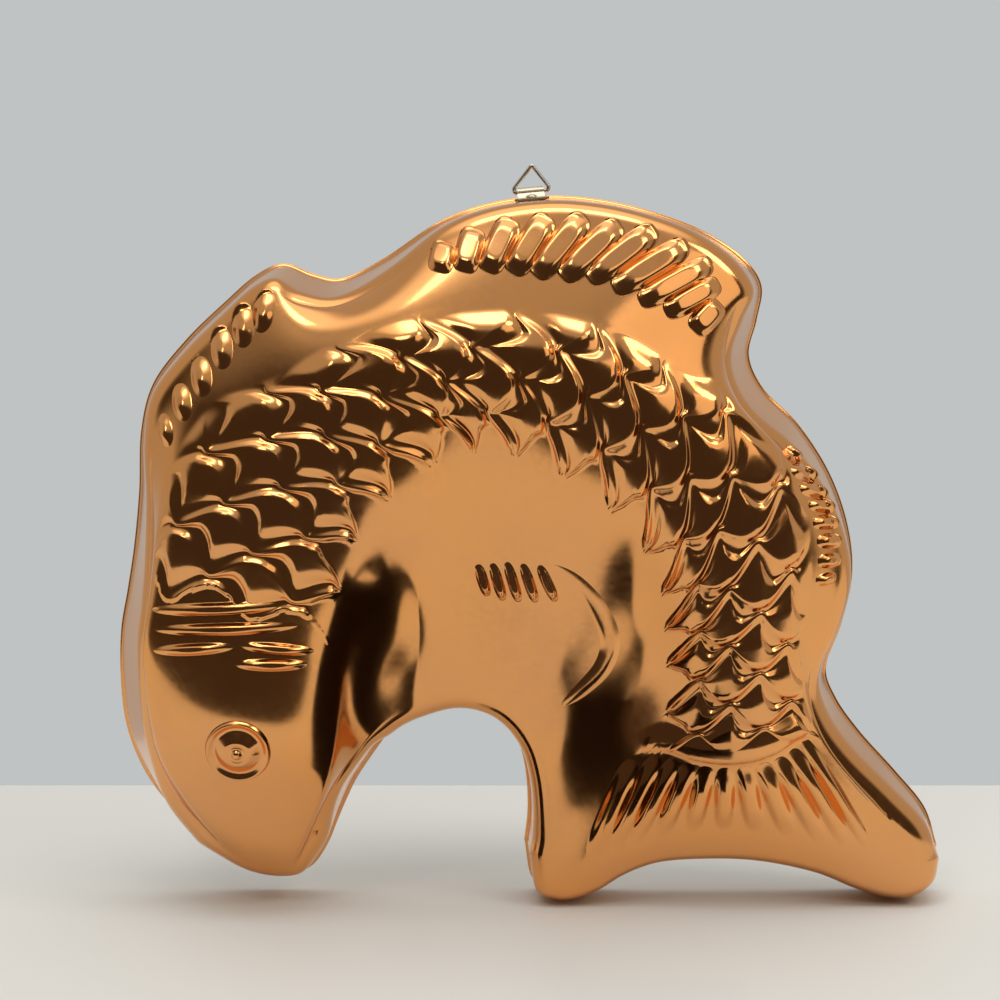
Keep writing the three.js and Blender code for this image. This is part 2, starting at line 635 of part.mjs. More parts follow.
// The strap: one strip folded round the ring's wire, with its two ends pressed together.
function strapSolid() {
  const middleRadius = loopRadius - strapThickness / 2;
  const lowLeaf = gap + strapThickness / 2;
  const highLeaf = lowLeaf + strapThickness + gap;
  const centreLine = [
    new THREE.Vector2(strapFront, lowLeaf),
    new THREE.Vector2(barPlace.y - leafRise, lowLeaf),
  ];
  const loopSteps = 16;
  const loopOverlap = 0.15;
  const swing = 1.5 * Math.PI + loopOverlap;
  for (let k = 0; k <= loopSteps; k += 1) {
    const turn = -Math.PI / 2 + (swing * k) / loopSteps;
    centreLine.push(new THREE.Vector2(
      barPlace.y + middleRadius * Math.cos(turn),
      barPlace.z + middleRadius * Math.sin(turn),
    ));
  }
  const leafBend = barPlace.y - middleRadius - leafFold;
  centreLine.push(new THREE.Vector2(leafBend, highLeaf));
  centreLine.push(new THREE.Vector2(strapFront, highLeaf));
  const offsetLine = (distance) => centreLine.map((point, k) => {
    const before = centreLine[Math.max(k - 1, 0)];
    const after = centreLine[Math.min(k + 1, centreLine.length - 1)];
    const into = point.clone().sub(before).normalize();
    const out = after.clone().sub(point).normalize();
    const along = into.clone().add(out).normalize();
    const first = k === 0 ? out : into;
    const mitre = distance / Math.max(along.dot(first), 0.5);
    return new THREE.Vector2(point.x + along.y * mitre, point.y - along.x * mitre);
  });
  const outline = [...offsetLine(strapThickness / 2), ...offsetLine(-strapThickness / 2).reverse()];
  const strip = new THREE.ExtrudeGeometry(new THREE.Shape(outline), {
    depth: 1,
    bevelEnabled: false,
  });
  strip.translate(0, 0, -0.5);
  strip.applyMatrix4(new THREE.Matrix4().makeBasis(
    new THREE.Vector3(0, 1, 0),
    new THREE.Vector3(0, 0, 1),
    new THREE.Vector3(1, 0, 0),
  ));
  const corners = strip.attributes.position;
  for (let k = 0; k < corners.count; k += 1) {
    const forward = THREE.MathUtils.clamp((barPlace.y - corners.getY(k)) / (barPlace.y - strapFront), 0, 1);
    corners.setX(k, corners.getX(k) * THREE.MathUtils.lerp(strapLoopWidth, strapFrontWidth, forward));
  }
  const hole = roundSolid(
    new THREE.Vector3(0, rivetPlace, -1),
    new THREE.Vector3(0, rivetPlace, leafTop + 1),
    rivetShankRadius + gap,
  );
  return toSolid(strip).subtract(hole);
}

// The rivet: a low dome on the strap, a shank through strap and wall, and a flattened tail inside.
function rivetGeometry() {
  const domeSteps = 5;
  const tailRadius = rivetHeadRadius * 0.9;
  const tailTop = -sheetThickness - gap;
  const profile = [
    [0, tailTop - 0.7],
    [tailRadius * 0.8, tailTop - 0.7],
    [tailRadius, tailTop - 0.35],
    [tailRadius, tailTop],
    [rivetShankRadius, tailTop],
    [rivetShankRadius, leafTop],
  ];
  for (let k = 0; k <= domeSteps; k += 1) {
    const turn = (k / domeSteps) * (Math.PI / 2);
    profile.push([rivetHeadRadius * Math.cos(turn), leafTop + gap / 2 + rivetHeadHeight * Math.sin(turn)]);
  }
  profile[profile.length - 1][0] = 0;
  const lathe = new THREE.LatheGeometry(profile.map(([r, z]) => new THREE.Vector2(r, z)), 20);
  lathe.rotateX(Math.PI / 2);
  lathe.translate(0, rivetPlace, 0);
  return lathe;
}

// The ring: one wire bent to a triangle, standing on its bar.
function ringPath() {
  const corners = [
    { at: [-ringWidth / 2 + wireDiameter / 2, 0], radius: ringCornerRadius },
    { at: [ringWidth / 2 - wireDiameter / 2, 0], radius: ringCornerRadius },
    { at: [ringApexShift, ringHeight - wireDiameter], radius: ringApexRadius },
  ];
  const points = [];
  corners.forEach(({ at, radius }, k) => {
    const here = new THREE.Vector2(...at);
    const toBefore = new THREE.Vector2(...corners[(k + 2) % 3].at).sub(here).normalize();
    const toAfter = new THREE.Vector2(...corners[(k + 1) % 3].at).sub(here).normalize();
    const half = Math.acos(toBefore.dot(toAfter)) / 2;
    const reach = radius / Math.tan(half);
    const centre = toBefore.clone().add(toAfter).normalize().multiplyScalar(radius / Math.sin(half)).add(here);
    const start = here.clone().addScaledVector(toBefore, reach).sub(centre);
    const sweep = Math.PI - 2 * half;
    const steps = 6;
    for (let m = 0; m <= steps; m += 1) {
      points.push(start.clone().rotateAround(new THREE.Vector2(), (sweep * m) / steps).add(centre));
    }
  });
  return points;
}

// The wire's skin: a round section at each point of the closed path, square to the bend there.
function wireGeometry(points) {
  const sides = 12;
  const positions = [];
  const triangles = [];
  points.forEach((point, k) => {
    const before = points[(k + points.length - 1) % points.length];
    const after = points[(k + 1) % points.length];
    const into = point.clone().sub(before).normalize();
    const out = after.clone().sub(point).normalize();
    const along = into.clone().add(out).normalize();
    const side = new THREE.Vector2(along.y, -along.x);
    const mitre = 1 / along.dot(into);
    for (let m = 0; m < sides; m += 1) {
      const turn = (2 * Math.PI * m) / sides;
      const across = (wireDiameter / 2) * Math.cos(turn) * mitre;
      positions.push(point.x + side.x * across, (wireDiameter / 2) * Math.sin(turn), point.y + side.y * across);
    }
  });
  for (let k = 0; k < points.length; k += 1) {
    const next = (k + 1) % points.length;
    for (let m = 0; m < sides; m += 1) {
      const a = k * sides + m;
      const b = k * sides + ((m + 1) % sides);
      const c = next * sides + ((m + 1) % sides);
      const d = next * sides + m;
      triangles.push(a, b, c, a, c, d);
    }
  }
  const geometry = new THREE.BufferGeometry();
  geometry.setAttribute("position", new THREE.Float32BufferAttribute(positions, 3));
  geometry.setIndex(triangles);
  return geometry;
}

function shellSolid() {
  const { point, normal } = nearestFace(placed(eyePlace));
  const eye = eyeGeometry();
  eye.applyQuaternion(new THREE.Quaternion().setFromUnitVectors(new THREE.Vector3(0, 1, 0), normal));
  eye.translate(point.x, point.y, point.z);
  seat.updateMatrixWorld(true);
  const holeReach = 4 * sheetThickness;
  const through = (z) => slope.localToWorld(new THREE.Vector3(0, rivetPlace, z));
  const hole = roundSolid(through(-holeReach), through(holeReach), rivetShankRadius + gap);
  const pressed = allBars().reduce((sheet, bar) => sheet.add(bar), toSolid(shellGeometry()));
  const whole = pressed.add(toSolid(eye)).subtract(hole);
  return whole.decompose().reduce((best, other) => (other.volume() > best.volume() ? other : best));
}

const copper = { color: 0xc2713d, roughness: 0.2, metalness: 1 };
const steel = { color: 0xc9cac8, roughness: 0.25, metalness: 1 };
const nickel = { color: 0xb9b1a0, roughness: 0.35, metalness: 1 };

function piece(name, geometry, finish) {
  const shape = toCreasedNormals(geometry, 0.5);
  const mesh = new THREE.Mesh(shape, new THREE.MeshStandardMaterial(finish));
  mesh.name = name;
  return mesh;
}

const ring = piece("hanger_ring", wireGeometry(ringPath()), steel);
const ringGroup = new THREE.Group();
ringGroup.add(ring);
seat.updateMatrixWorld(true);
const barWorld = slope.localToWorld(barPlace.clone());
ringGroup.position.copy(seat.worldToLocal(barWorld.clone()));
seat.add(ringGroup);
slope.add(piece("hanger_strap", toGeometry(strapSolid()), nickel));
slope.add(piece("hanger_rivet", rivetGeometry(), nickel));

const mould = new THREE.Group();
mould.add(piece("mould_shell", toGeometry(shellSolid()), copper));
mould.add(seat);
mould.updateMatrixWorld(true);
const hangPoint = ringGroup.localToWorld(new THREE.Vector3(ringApexShift, 0, ringHeight - 1.5 * wireDiameter));
mould.position.copy(hangPoint).negate();
export default mould;
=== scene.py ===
# %% [markdown]
# # A copper cake mould in the form of a fish
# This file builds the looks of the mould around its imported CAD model. The model gives the
# frame: every piece made here sits where the CAD node it stands for sits, and moves with it.

# %% Load the frame
import math

import bmesh
import bpy
import numpy as np
from mathutils import Matrix, Vector
from mathutils.bvhtree import BVHTree
from mathutils.kdtree import KDTree


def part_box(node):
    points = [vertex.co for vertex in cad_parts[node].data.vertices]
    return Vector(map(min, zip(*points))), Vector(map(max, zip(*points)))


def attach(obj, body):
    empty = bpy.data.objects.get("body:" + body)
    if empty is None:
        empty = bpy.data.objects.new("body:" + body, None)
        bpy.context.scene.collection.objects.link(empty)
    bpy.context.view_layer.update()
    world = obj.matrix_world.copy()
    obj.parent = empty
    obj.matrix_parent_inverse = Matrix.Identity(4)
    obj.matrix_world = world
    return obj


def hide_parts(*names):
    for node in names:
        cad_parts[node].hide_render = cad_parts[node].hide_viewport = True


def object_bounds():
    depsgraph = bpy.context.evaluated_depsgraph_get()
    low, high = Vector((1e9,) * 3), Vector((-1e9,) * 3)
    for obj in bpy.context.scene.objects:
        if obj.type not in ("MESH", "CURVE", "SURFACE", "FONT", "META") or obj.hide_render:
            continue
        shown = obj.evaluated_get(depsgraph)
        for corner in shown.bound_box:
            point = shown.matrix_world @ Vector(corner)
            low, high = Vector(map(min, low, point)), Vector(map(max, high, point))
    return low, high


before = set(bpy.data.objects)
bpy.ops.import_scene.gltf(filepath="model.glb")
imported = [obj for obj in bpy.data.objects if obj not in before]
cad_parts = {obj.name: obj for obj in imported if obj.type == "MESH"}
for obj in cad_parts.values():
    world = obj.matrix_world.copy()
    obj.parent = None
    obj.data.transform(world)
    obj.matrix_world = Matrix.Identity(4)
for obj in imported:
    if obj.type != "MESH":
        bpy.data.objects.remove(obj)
cad_box = [list(corner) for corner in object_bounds()]
bpy.ops.object.select_all(action="DESELECT")
print("CAD box in metres:", cad_box)

# %% [markdown]
# ## The camera
# The photograph looks at the mould squarely from the front and a little from above. The
# mould in the photograph leans back against a wall. Here it stands upright, so the camera
# takes the angle between its own line and the mould's: seven degrees.

# %% Camera
MM = 0.001
rim_plane = cad_box[1][1]
drawing_centre = Vector((-10.83 * MM, rim_plane, -113.58 * MM))
camera_distance = 894.4 * MM
camera_elevation = math.radians(7)
camera_lens = 93.6


def make_camera():
    data = bpy.data.cameras.new("view")
    data.lens = camera_lens
    data.sensor_width = 36
    camera = bpy.data.objects.new("view", data)
    bpy.context.scene.collection.objects.link(camera)
    back = Vector((0, -math.cos(camera_elevation), math.sin(camera_elevation)))
    camera.location = drawing_centre + camera_distance * back
    camera.rotation_euler = (-back).to_track_quat("-Z", "Y").to_euler()
    bpy.context.scene.camera = camera
    print("camera at", [round(c, 4) for c in camera.location])


make_camera()
bpy.context.scene.view_settings.view_transform = "Standard"

# %% [markdown]
# ## The room
# Polished copper shows the room more than its own colour, so the room is planned as a
# photographer would plan it: a pale table below, a pale wall behind, a soft ceiling light,
# and the darker part of the room in front, behind the camera. The table's far edge makes
# the line across the picture. The wall is the world itself, so it hides nothing from behind.

# %% Helpers for materials
def new_material(name):
    material = bpy.data.materials.new(name)
    material.use_nodes = True
    nodes = material.node_tree.nodes
    links = material.node_tree.links
    return material, nodes, links, nodes["Principled BSDF"]


def add_noise(nodes, links, **settings):
    """A noise over the object's own coordinates."""
    noise = nodes.new("ShaderNodeTexNoise")
    for name, value in settings.items():
        noise.inputs[name].default_value = value
    place = nodes.new("ShaderNodeTexCoord")
    links.new(place.outputs["Object"], noise.inputs["Vector"])
    return noise


def tint_by_noise(nodes, links, shader, noise, low, high, span=(0.0, 1.0)):
    """Colours the shader from one colour to another along a span of the noise."""
    ramp = nodes.new("ShaderNodeValToRGB")
    for stop, (position, colour) in enumerate(zip(span, (low, high))):
        ramp.color_ramp.elements[stop].position = position
        ramp.color_ramp.elements[stop].color = (*colour, 1)
    links.new(noise.outputs["Fac"], ramp.inputs["Fac"])
    links.new(ramp.outputs["Color"], shader.inputs["Base Color"])


def roughen_by_noise(nodes, links, shader, noise, low, high):
    """Spreads the shader's roughness between two values by the noise."""
    spread = nodes.new("ShaderNodeMapRange")
    spread.inputs["To Min"].default_value = low
    spread.inputs["To Max"].default_value = high
    links.new(noise.outputs["Fac"], spread.inputs["Value"])
    links.new(spread.outputs["Result"], shader.inputs["Roughness"])


# %% The table
table_height = cad_box[0][2]
table_width = 3.0
table_front = -0.22
table_back = 0.16
table_roughness = 0.55


def make_table():
    bpy.ops.mesh.primitive_plane_add(size=1, location=(0, 0, 0))
    table = bpy.context.object
    table.name = "table_top"
    table.data.transform(Matrix.Diagonal((table_width, table_back - table_front, 1, 1)))
    table.data.transform(Matrix.Translation((0, (table_back + table_front) / 2, table_height)))
    material, nodes, links, shader = new_material("pale table")
    noise = add_noise(nodes, links, Scale=3.0, Detail=3.0)
    tint_by_noise(nodes, links, shader, noise, (0.77, 0.785, 0.785), (0.84, 0.855, 0.855))
    shader.inputs["Roughness"].default_value = table_roughness
    table.data.materials.append(material)
    bpy.ops.object.select_all(action="DESELECT")


make_table()

# %% [markdown]
# ## Two black cards
# The photograph shows two dark areas beside the belly, where the metal mirrors something
# dark. Here two dark cards stand close in front of the metal, as a photographer sets them,
# and only reflections see them. The valleys pressed into the sheet shape those areas a
# little, but most of their darkness comes from the cards.

# %% Black cards in front of the metal
def make_card(name, corners, top):
    """An upright dark card along the floor points (x, y) in mm. Only reflections see it."""
    bpy.ops.mesh.primitive_plane_add(size=1, location=(0, 0, 0))
    card = bpy.context.object
    card.name = name
    mesh = bmesh.new()
    low = [mesh.verts.new((x * MM, y * MM, table_height)) for x, y in corners]
    high = [mesh.verts.new((x * MM, y * MM, table_height + top * MM)) for x, y in corners]
    for a, b, c, d in zip(low, low[1:], high[1:], high):
        mesh.faces.new((a, b, c, d))
    mesh.to_mesh(card.data)
    mesh.free()
    material, _, _, shader = new_material("black card")
    shader.inputs["Base Color"].default_value = (0.02, 0.014, 0.01, 1)
    shader.inputs["Roughness"].default_value = 0.9
    shader.inputs["Specular IOR Level"].default_value = 0.1
    card.data.materials.append(material)
    card.visible_camera = card.visible_diffuse = card.visible_shadow = False
    bpy.ops.object.select_all(action="DESELECT")


make_card("card_by_the_tail", [(66, -100), (5, -100), (14, -60)], 45)
make_card("card_by_the_head", [(-38, -34.5), (-37, -68)], 102)


# %% The wall, the ceiling and the room in front
seen_wall = (0.525, 0.545, 0.545)
mirrored_wall = (0.50, 0.48, 0.44)
mirrored_ceiling = (1.5, 1.45, 1.35)
dark_room = (0.055, 0.042, 0.032)


def make_world():
    world = bpy.data.worlds.new("room")
    world.use_nodes = True
    bpy.context.scene.world = world
    nodes, links = world.node_tree.nodes, world.node_tree.links
    background = nodes["Background"]
    place = nodes.new("ShaderNodeTexCoord")
    split = nodes.new("ShaderNodeSeparateXYZ")
    links.new(place.outputs["Generated"], split.inputs["Vector"])

    def smooth_step(value, low, high):
        node = nodes.new("ShaderNodeMapRange")
        node.interpolation_type = "SMOOTHSTEP"
        links.new(value, node.inputs["Value"])
        node.inputs["From Min"].default_value = low
        node.inputs["From Max"].default_value = high
        return node.outputs["Result"]

    def mix(factor, low, high):
        node = nodes.new("ShaderNodeMix")
        node.data_type = "RGBA"
        links.new(factor, node.inputs["Factor"])
        for socket, value in ((node.inputs[6], low), (node.inputs[7], high)):
            if isinstance(value, tuple):
                socket.default_value = (*value, 1)
            else:
                links.new(value, socket)
        return node.outputs[2]

    front = smooth_step(split.outputs["Y"], -0.12, -0.45)
    low = smooth_step(split.outputs["Z"], 0.72, 0.46)
    dark_part = nodes.new("ShaderNodeMath")
    dark_part.operation = "MULTIPLY"
    links.new(front, dark_part.inputs[0])
    links.new(low, dark_part.inputs[1])
    overhead = smooth_step(split.outputs["Z"], 0.80, 0.95)
    pale = mix(overhead, mirrored_wall, mirrored_ceiling)
    room = mix(dark_part.outputs[0], pale, dark_room)
    camera_ray = nodes.new("ShaderNodeLightPath").outputs["Is Camera Ray"]
    colour = mix(camera_ray, room, seen_wall)
    links.new(colour, background.inputs["Color"])
    background.inputs["Strength"].default_value = 1.0


make_world()


# %% Lamps
def make_lamp(name, place, target, size, power, colour):
    data = bpy.data.lights.new(name, "AREA")
    data.shape = "RECTANGLE"
    data.size, data.size_y = size
    data.energy = power
    data.color = colour
    lamp = bpy.data.objects.new(name, data)
    bpy.context.scene.collection.objects.link(lamp)
    lamp.location = place
    aim = Vector(target) - Vector(place)
    lamp.rotation_euler = aim.to_track_quat("-Z", "Y").to_euler()
    return lamp


make_lamp("ceiling light", (0.0, -0.35, 1.25), drawing_centre, (1.0, 0.4), 3.6, (0.98, 0.98, 0.97))
make_lamp("left window", (-0.50, -1.0, 0.93), drawing_centre, (0.34, 0.34), 1.7, (1.0, 0.93, 0.8))
make_lamp("right window", (0.84, -0.52, 0.80), drawing_centre, (0.38, 0.38), 2.0, (1.0, 0.93, 0.8))
make_lamp("glow beside it", (0.60, -0.72, 0.34), drawing_centre, (0.5, 0.5), 0.8, (1.0, 0.90, 0.74))

# %% [markdown]
# ## The drawing of the fish
# The mould is one pressed sheet. Its form is given as a drawing in millimetres: the outline
# of the rim, and three lines along the body that say where the scales begin, where the back
# is highest, and where the smooth belly begins. A smooth track runs through such points.

# %% The outline and the body lines
back_outline = [
    (-106, -117), (-117.5, -105), (-125, -93), (-130, -78), (-131.5, -61), (-131, -45),
    (-128.5, -31), (-126, -15.5), (-124, 3.5), (-123, 24), (-118.5, 40.5), (-107, 55.5),
    (-93.5, 68.5), (-83, 77.5), (-73.5, 81.5), (-63.5, 78), (-53.5, 76.5), (-39, 83.5),
    (-21, 95.5), (-3.5, 102), (16, 104.5), (34, 103.2), (51, 99.3), (68, 93), (82, 84),
    (89, 74), (87.5, 62), (85, 50), (90.2, 38.4), (102.2, 26.2), (113, 9.6), (119.6, -8.5),
    (121.5, -26), (118, -43.5), (113, -58.5), (116.5, -69.5), (125, -81.5), (137.5, -95.5),
    (148, -108.5), (152.5, -122),
]
arch_outline = [
    (0, -56.5, -113), (1, -54, -107), (2, -50, -98.5), (3.2, -44.5, -90), (4.5, -39, -82.5),
    (6.5, -32.5, -76.5), (9, -25, -73), (13, -15, -70.5), (20, -5.5, -72), (25, 1, -76.5),
    (29, 6, -84), (32, 8.5, -93), (34.5, 9.5, -102), (37, 9.5, -111), (39, 8.5, -120),
]
snout_outline = [
    (0, -106, -117), (0.16, -99.5, -123.5), (0.32, -91.5, -129), (0.48, -83, -132),
    (0.64, -73.5, -132.5), (0.78, -65.5, -129.5), (0.9, -60, -121.5), (1, -56.5, -113),
]
tail_outline = [
    (0, 152.5, -122), (0.08, 150.5, -131.5), (0.15, 143, -137.5), (0.22, 133.5, -138),
    (0.3, 121.5, -134.2), (0.37, 107, -128.2), (0.45, 88, -124.2), (0.53, 70, -123.4),
    (0.6, 54.5, -124.5), (0.66, 43.5, -128.5), (0.73, 35, -134), (0.8, 26.5, -137.7),
    (0.87, 18.5, -138), (0.94, 11, -133.5), (1, 8.5, -120),
]
back_heights = [(0, 25), (3, 31), (8, 35), (14, 36), (25, 36), (31, 34), (35, 31), (39, 26)]
arch_heights = [(0, 25), (2, 27), (6, 29), (13, 28), (30, 28), (39, 26)]
back_insets = [
    (0, 9), (3, 13), (6, 11.5), (9, 8.5), (13, 8), (15, 9), (17.5, 6.5), (22, 6.5), (25, 11),
    (27, 12), (29.5, 9), (33, 9.5), (36, 12), (39, 10),
]
arch_insets = [(0, 8), (4, 7), (35, 7), (39, 8)]
tail_insets = [(0, 10), (0.15, 10), (0.37, 6), (0.53, 5), (0.66, 5.5), (0.8, 7.5), (1, 8)]
scale_outer_line = [
    (0, -93, -107.5, 27), (2.5, -112.5, -85, 37), (3.1, -114.7, -75, 40.4),
    (4, -117.3, -60, 41.5), (5, -118.5, -41.5, 42.5), (6, -115.5, -28, 43),
    (8, -110, 4, 45), (10, -97.5, 28.5, 46), (12, -77, 46.5, 47), (14, -63, 55.5, 48),
    (16, -47.5, 63, 49), (18, -25.5, 69.5, 50), (20, 9.5, 71.5, 50), (22, 34, 67, 50),
    (24, 50, 58, 49), (26, 64.5, 49, 48), (28, 79.5, 35, 46), (30, 97, 12, 43),
    (32, 100.5, -18, 41), (34, 99.5, -47, 38), (36, 103, -70.5, 34), (37.5, 108.5, -86, 31),
    (39, 118.5, -116.5, 27),
]
ridge_line = [
    (0, -80.5, -112, 27), (2.5, -84.5, -85, 43.2), (3.1, -85.1, -76, 48.9),
    (4, -85.5, -61, 50), (5, -85.5, -45, 50.5), (6, -85, -33, 51),
    (8, -82, -6.5, 54), (10, -69.5, 16.5, 55), (12, -56, 31, 56), (14, -45.5, 39.5, 57),
    (16, -33.5, 44, 57), (18, -17, 47.5, 58), (20, 9.5, 48.5, 58), (22, 29, 43, 58),
    (24, 42.5, 35.5, 57), (26, 54, 26.5, 56), (28, 64.5, 13, 54), (30, 72.5, -2, 52),
    (32, 77, -22, 49.5), (34, 77.5, -44.5, 46.5), (36, 79, -71, 42), (37.5, 79.5, -88.5, 37.5),
    (39, 80, -114.5, 28),
]
scale_inner_line = [
    (0, -66, -112, 27), (2.5, -57, -89.5, 38), (3.1, -56.1, -81.5, 42.4),
    (4, -55.2, -68, 43.9), (5, -54.5, -54, 45), (6, -54.5, -44, 46),
    (8, -50.5, -18.5, 49), (10, -44, -1, 50), (12, -33, 10, 51), (14, -24.5, 17.5, 51),
    (16, -15.5, 22.5, 51), (18, -6.5, 24, 51), (20, 8, 22, 51), (22, 22.5, 14.5, 51),
    (24, 34.5, 6, 50), (26, 43, -2, 49), (28, 50.5, -14, 47), (30, 55, -26, 45),
    (32, 55.5, -38, 42), (34, 56.5, -52, 39), (36, 55.5, -75, 35), (37.5, 52, -91, 32),
    (39, 37.5, -116.5, 27),
]
last_station = len(back_outline) - 1
row_keys = np.array([0, 4, 10, 16, 22.0])
last_row = row_keys[-1]
sheet_thickness = 1.0
lip_width = 0.9
lip_thickness = 0.9
end_reach = {"snout": 4.3, "tail": 2.8}


def track(keys):
    keys = np.array(keys, float)
    places, values = keys[:, 0], keys[:, 1:]
    count = len(places)
    low = np.maximum(np.arange(count) - 1, 0)
    high = np.minimum(np.arange(count) + 1, count - 1)
    slopes = (values[high] - values[low]) / (places[high] - places[low])[:, None]

    def at(place):
        place = np.atleast_1d(np.asarray(place, float))
        k = np.clip(np.searchsorted(places, place) - 1, 0, count - 2)
        span = (places[k + 1] - places[k])[:, None]
        u = (place - places[k])[:, None] / span
        square, cube = u * u, u * u * u
        found = (2 * cube - 3 * square + 1) * values[k] + (cube - 2 * square + u) * slopes[k] * span
        found = found + (3 * square - 2 * cube) * values[k + 1] + (cube - square) * slopes[k + 1] * span
        return found[:, 0] if values.shape[1] == 1 else found

    return at


back_track = track([(station, *point) for station, point in enumerate(back_outline)])
arch_track = track(arch_outline)
snout_track, tail_track = track(snout_outline), track(tail_outline)
back_height, arch_height = track(back_heights), track(arch_heights)
back_inset, arch_inset = track(back_insets), track(arch_insets)
tail_inset = track(tail_insets)
body_tracks = [track(line) for line in (scale_outer_line, ridge_line, scale_inner_line)]
print("the back is drawn with", len(back_outline), "points")

# %% [markdown]
# ## The smooth body
# The face of the fish is a loft: at each station a line crosses the body from the back's
# shoulder over the three body lines to the arch's shoulder. The lofted grid is then evened
# out, because polished metal shows every kink in the curves it was drawn with.

# %% The rim and the shoulders
base_stations = np.linspace(0, last_station, 313)
base_rows = np.linspace(0, last_row, 89)
shares = base_rows / last_row
corner_softness = 6.0


def rim_path(stations, row_shares):
    """The closed outline: back, hem of the tail, arch backwards, snout backwards."""
    lerp = lambda a, b: a + (b - a) * row_shares
    points = np.concatenate([
        back_track(stations), tail_track(row_shares)[1:],
        arch_track(stations)[::-1][1:], snout_track(row_shares)[::-1][1:-1],
    ])
    heights = np.concatenate([
        back_height(stations), lerp(back_height(last_station), arch_height(last_station))[1:],
        arch_height(stations)[::-1][1:], lerp(back_height(0), arch_height(0))[::-1][1:-1],
    ])
    insets = np.concatenate([
        back_inset(stations), tail_inset(row_shares)[1:],
        arch_inset(stations)[::-1][1:], lerp(back_inset(0), arch_inset(0))[::-1][1:-1],
    ])
    return points, heights, insets


def inward_directions(points):
    """Directions into the mould, evened out so that the walls turn the corners softly."""
    before, after = np.roll(points, 1, 0), np.roll(points, -1, 0)
    along = after - before
    lengths = np.linalg.norm(along, axis=1)
    along /= lengths[:, None]
    inward = np.stack([along[:, 1], -along[:, 0]], 1)
    places = np.cumsum(np.linalg.norm(points - before, axis=1))
    total = places[-1]
    apart = np.abs(places[:, None] - places[None, :])
    apart = np.minimum(apart, total - apart)
    weights = np.exp(-0.5 * (apart / corner_softness) ** 2) * lengths[None, :]
    return (weights @ inward) / weights.sum(1)[:, None]


def split_sides(ring, station_count, row_count):
    """The ring's four sides in the order of the grid: back, tail, arch and snout."""
    ring = np.concatenate([ring, ring[:1]])
    ends = np.cumsum([0, station_count - 1, row_count - 1, station_count - 1, row_count - 1])
    back, tail, arch, snout = (ring[a:b + 1] for a, b in zip(ends, ends[1:]))
    return back, tail, arch[::-1], snout[::-1]


# %% Valleys beside the belly
belly_sag = track([(0, 0), (5, 0), (9, 2), (13, 3.8), (27, 3.8), (32, 1), (39, 0)])
cheek_valley = [(-30, -20, 0, 9), (-37.9, -36.4, 5, 10), (-44.7, -50.1, 5.5, 10),
                (-50.6, -64.2, 4.0, 9), (-54.9, -78.4, 2.0, 8), (-57.8, -92, 0, 7)]
tail_valley = [(37, -8, 0, 9), (43.5, -28, 6.0, 10), (46.4, -45.3, 7.0, 12),
               (44, -62.7, 5.5, 14), (37.5, -80.4, 3.0, 14), (33, -98, 0.5, 14), (29.8, -112, 0, 12)]


def valley_depth(flat, path):
    """How far a valley pushes the sheet in: deepest on its path of (x, z, depth, width)."""
    path = track([(share, *point) for share, point in enumerate(path)])(
        np.linspace(0, len(path) - 1, 80))
    deepest = np.zeros(flat.shape[:-1])
    for x, z, depth, width in path:
        away = np.hypot(flat[..., 0] - x, flat[..., 1] - z) / width
        deepest = np.maximum(deepest, depth * np.exp(-away * away))
    return deepest


# %% The lofted body
def loft_body():
    points, heights, insets = rim_path(base_stations, shares)
    shoulder = points + inward_directions(points) * insets[:, None]
    sides = [len(base_stations), len(base_rows)]
    back, tail, arch, snout = split_sides(shoulder, *sides)
    back_h, tail_h, arch_h, snout_h = split_sides(heights, *sides)
    lines = [body_track(base_stations) for body_track in body_tracks]
    knots = np.stack([back, *[line[:, :2] for line in lines], arch], 1)
    knot_heights = np.stack([back_h, *[line[:, 2] for line in lines], arch_h], 1)
    steps = np.linalg.norm(np.diff(knots, axis=1), axis=2)
    distances = np.concatenate([np.zeros((len(steps), 1)), np.cumsum(steps, 1)], 1)
    k = np.clip(np.searchsorted(row_keys, base_rows, side="right") - 1, 0, 3)
    share = (base_rows - row_keys[k]) / (row_keys[k + 1] - row_keys[k])
    flat = knots[:, k] + (knots[:, k + 1] - knots[:, k]) * share[None, :, None]
    along = distances[:, k] + (distances[:, k + 1] - distances[:, k]) * share[None, :]
    height = np.stack([
        track(np.stack([distances[i], knot_heights[i]], 1))(along[i]) for i in range(len(flat))
    ])
    beyond = np.clip((base_rows - row_keys[3]) / (row_keys[4] - row_keys[3]), 0, 1)
    sag = np.sin(math.pi * beyond) * (1 - 0.35 * beyond)
    height = height - belly_sag(base_stations)[:, None] * sag[None]
    near_snout = np.maximum(0, 1 - base_stations / end_reach["snout"]) ** 2
    near_tail = np.maximum(0, 1 - (last_station - base_stations) / end_reach["tail"]) ** 2
    flat = flat + near_snout[:, None, None] * (snout - flat[0])[None]
    flat = flat + near_tail[:, None, None] * (tail - flat[-1])[None]
    height[0], height[-1] = snout_h, tail_h
    for valley in (cheek_valley, tail_valley):
        height = height - valley_depth(flat, valley)
    return np.concatenate([flat, height[..., None]], 2)


def even_out(grid, passes):
    grid = grid.copy()
    for _ in range(passes):
        inside = grid[1:-1, 1:-1]
        along = grid[:-2, 1:-1] + grid[2:, 1:-1]
        across = grid[1:-1, :-2] + grid[1:-1, 2:]
        grid[1:-1, 1:-1] = 0.5 * inside + 0.125 * (along + across)
    return grid


smooth_passes = 45
body_grid = even_out(loft_body(), smooth_passes)


def cubic_weights(u):
    return np.stack([
        -0.5 * u + u * u - 0.5 * u ** 3,
        1 - 2.5 * u * u + 1.5 * u ** 3,
        0.5 * u + 2 * u * u - 1.5 * u ** 3,
        -0.5 * u * u + 0.5 * u ** 3,
    ])


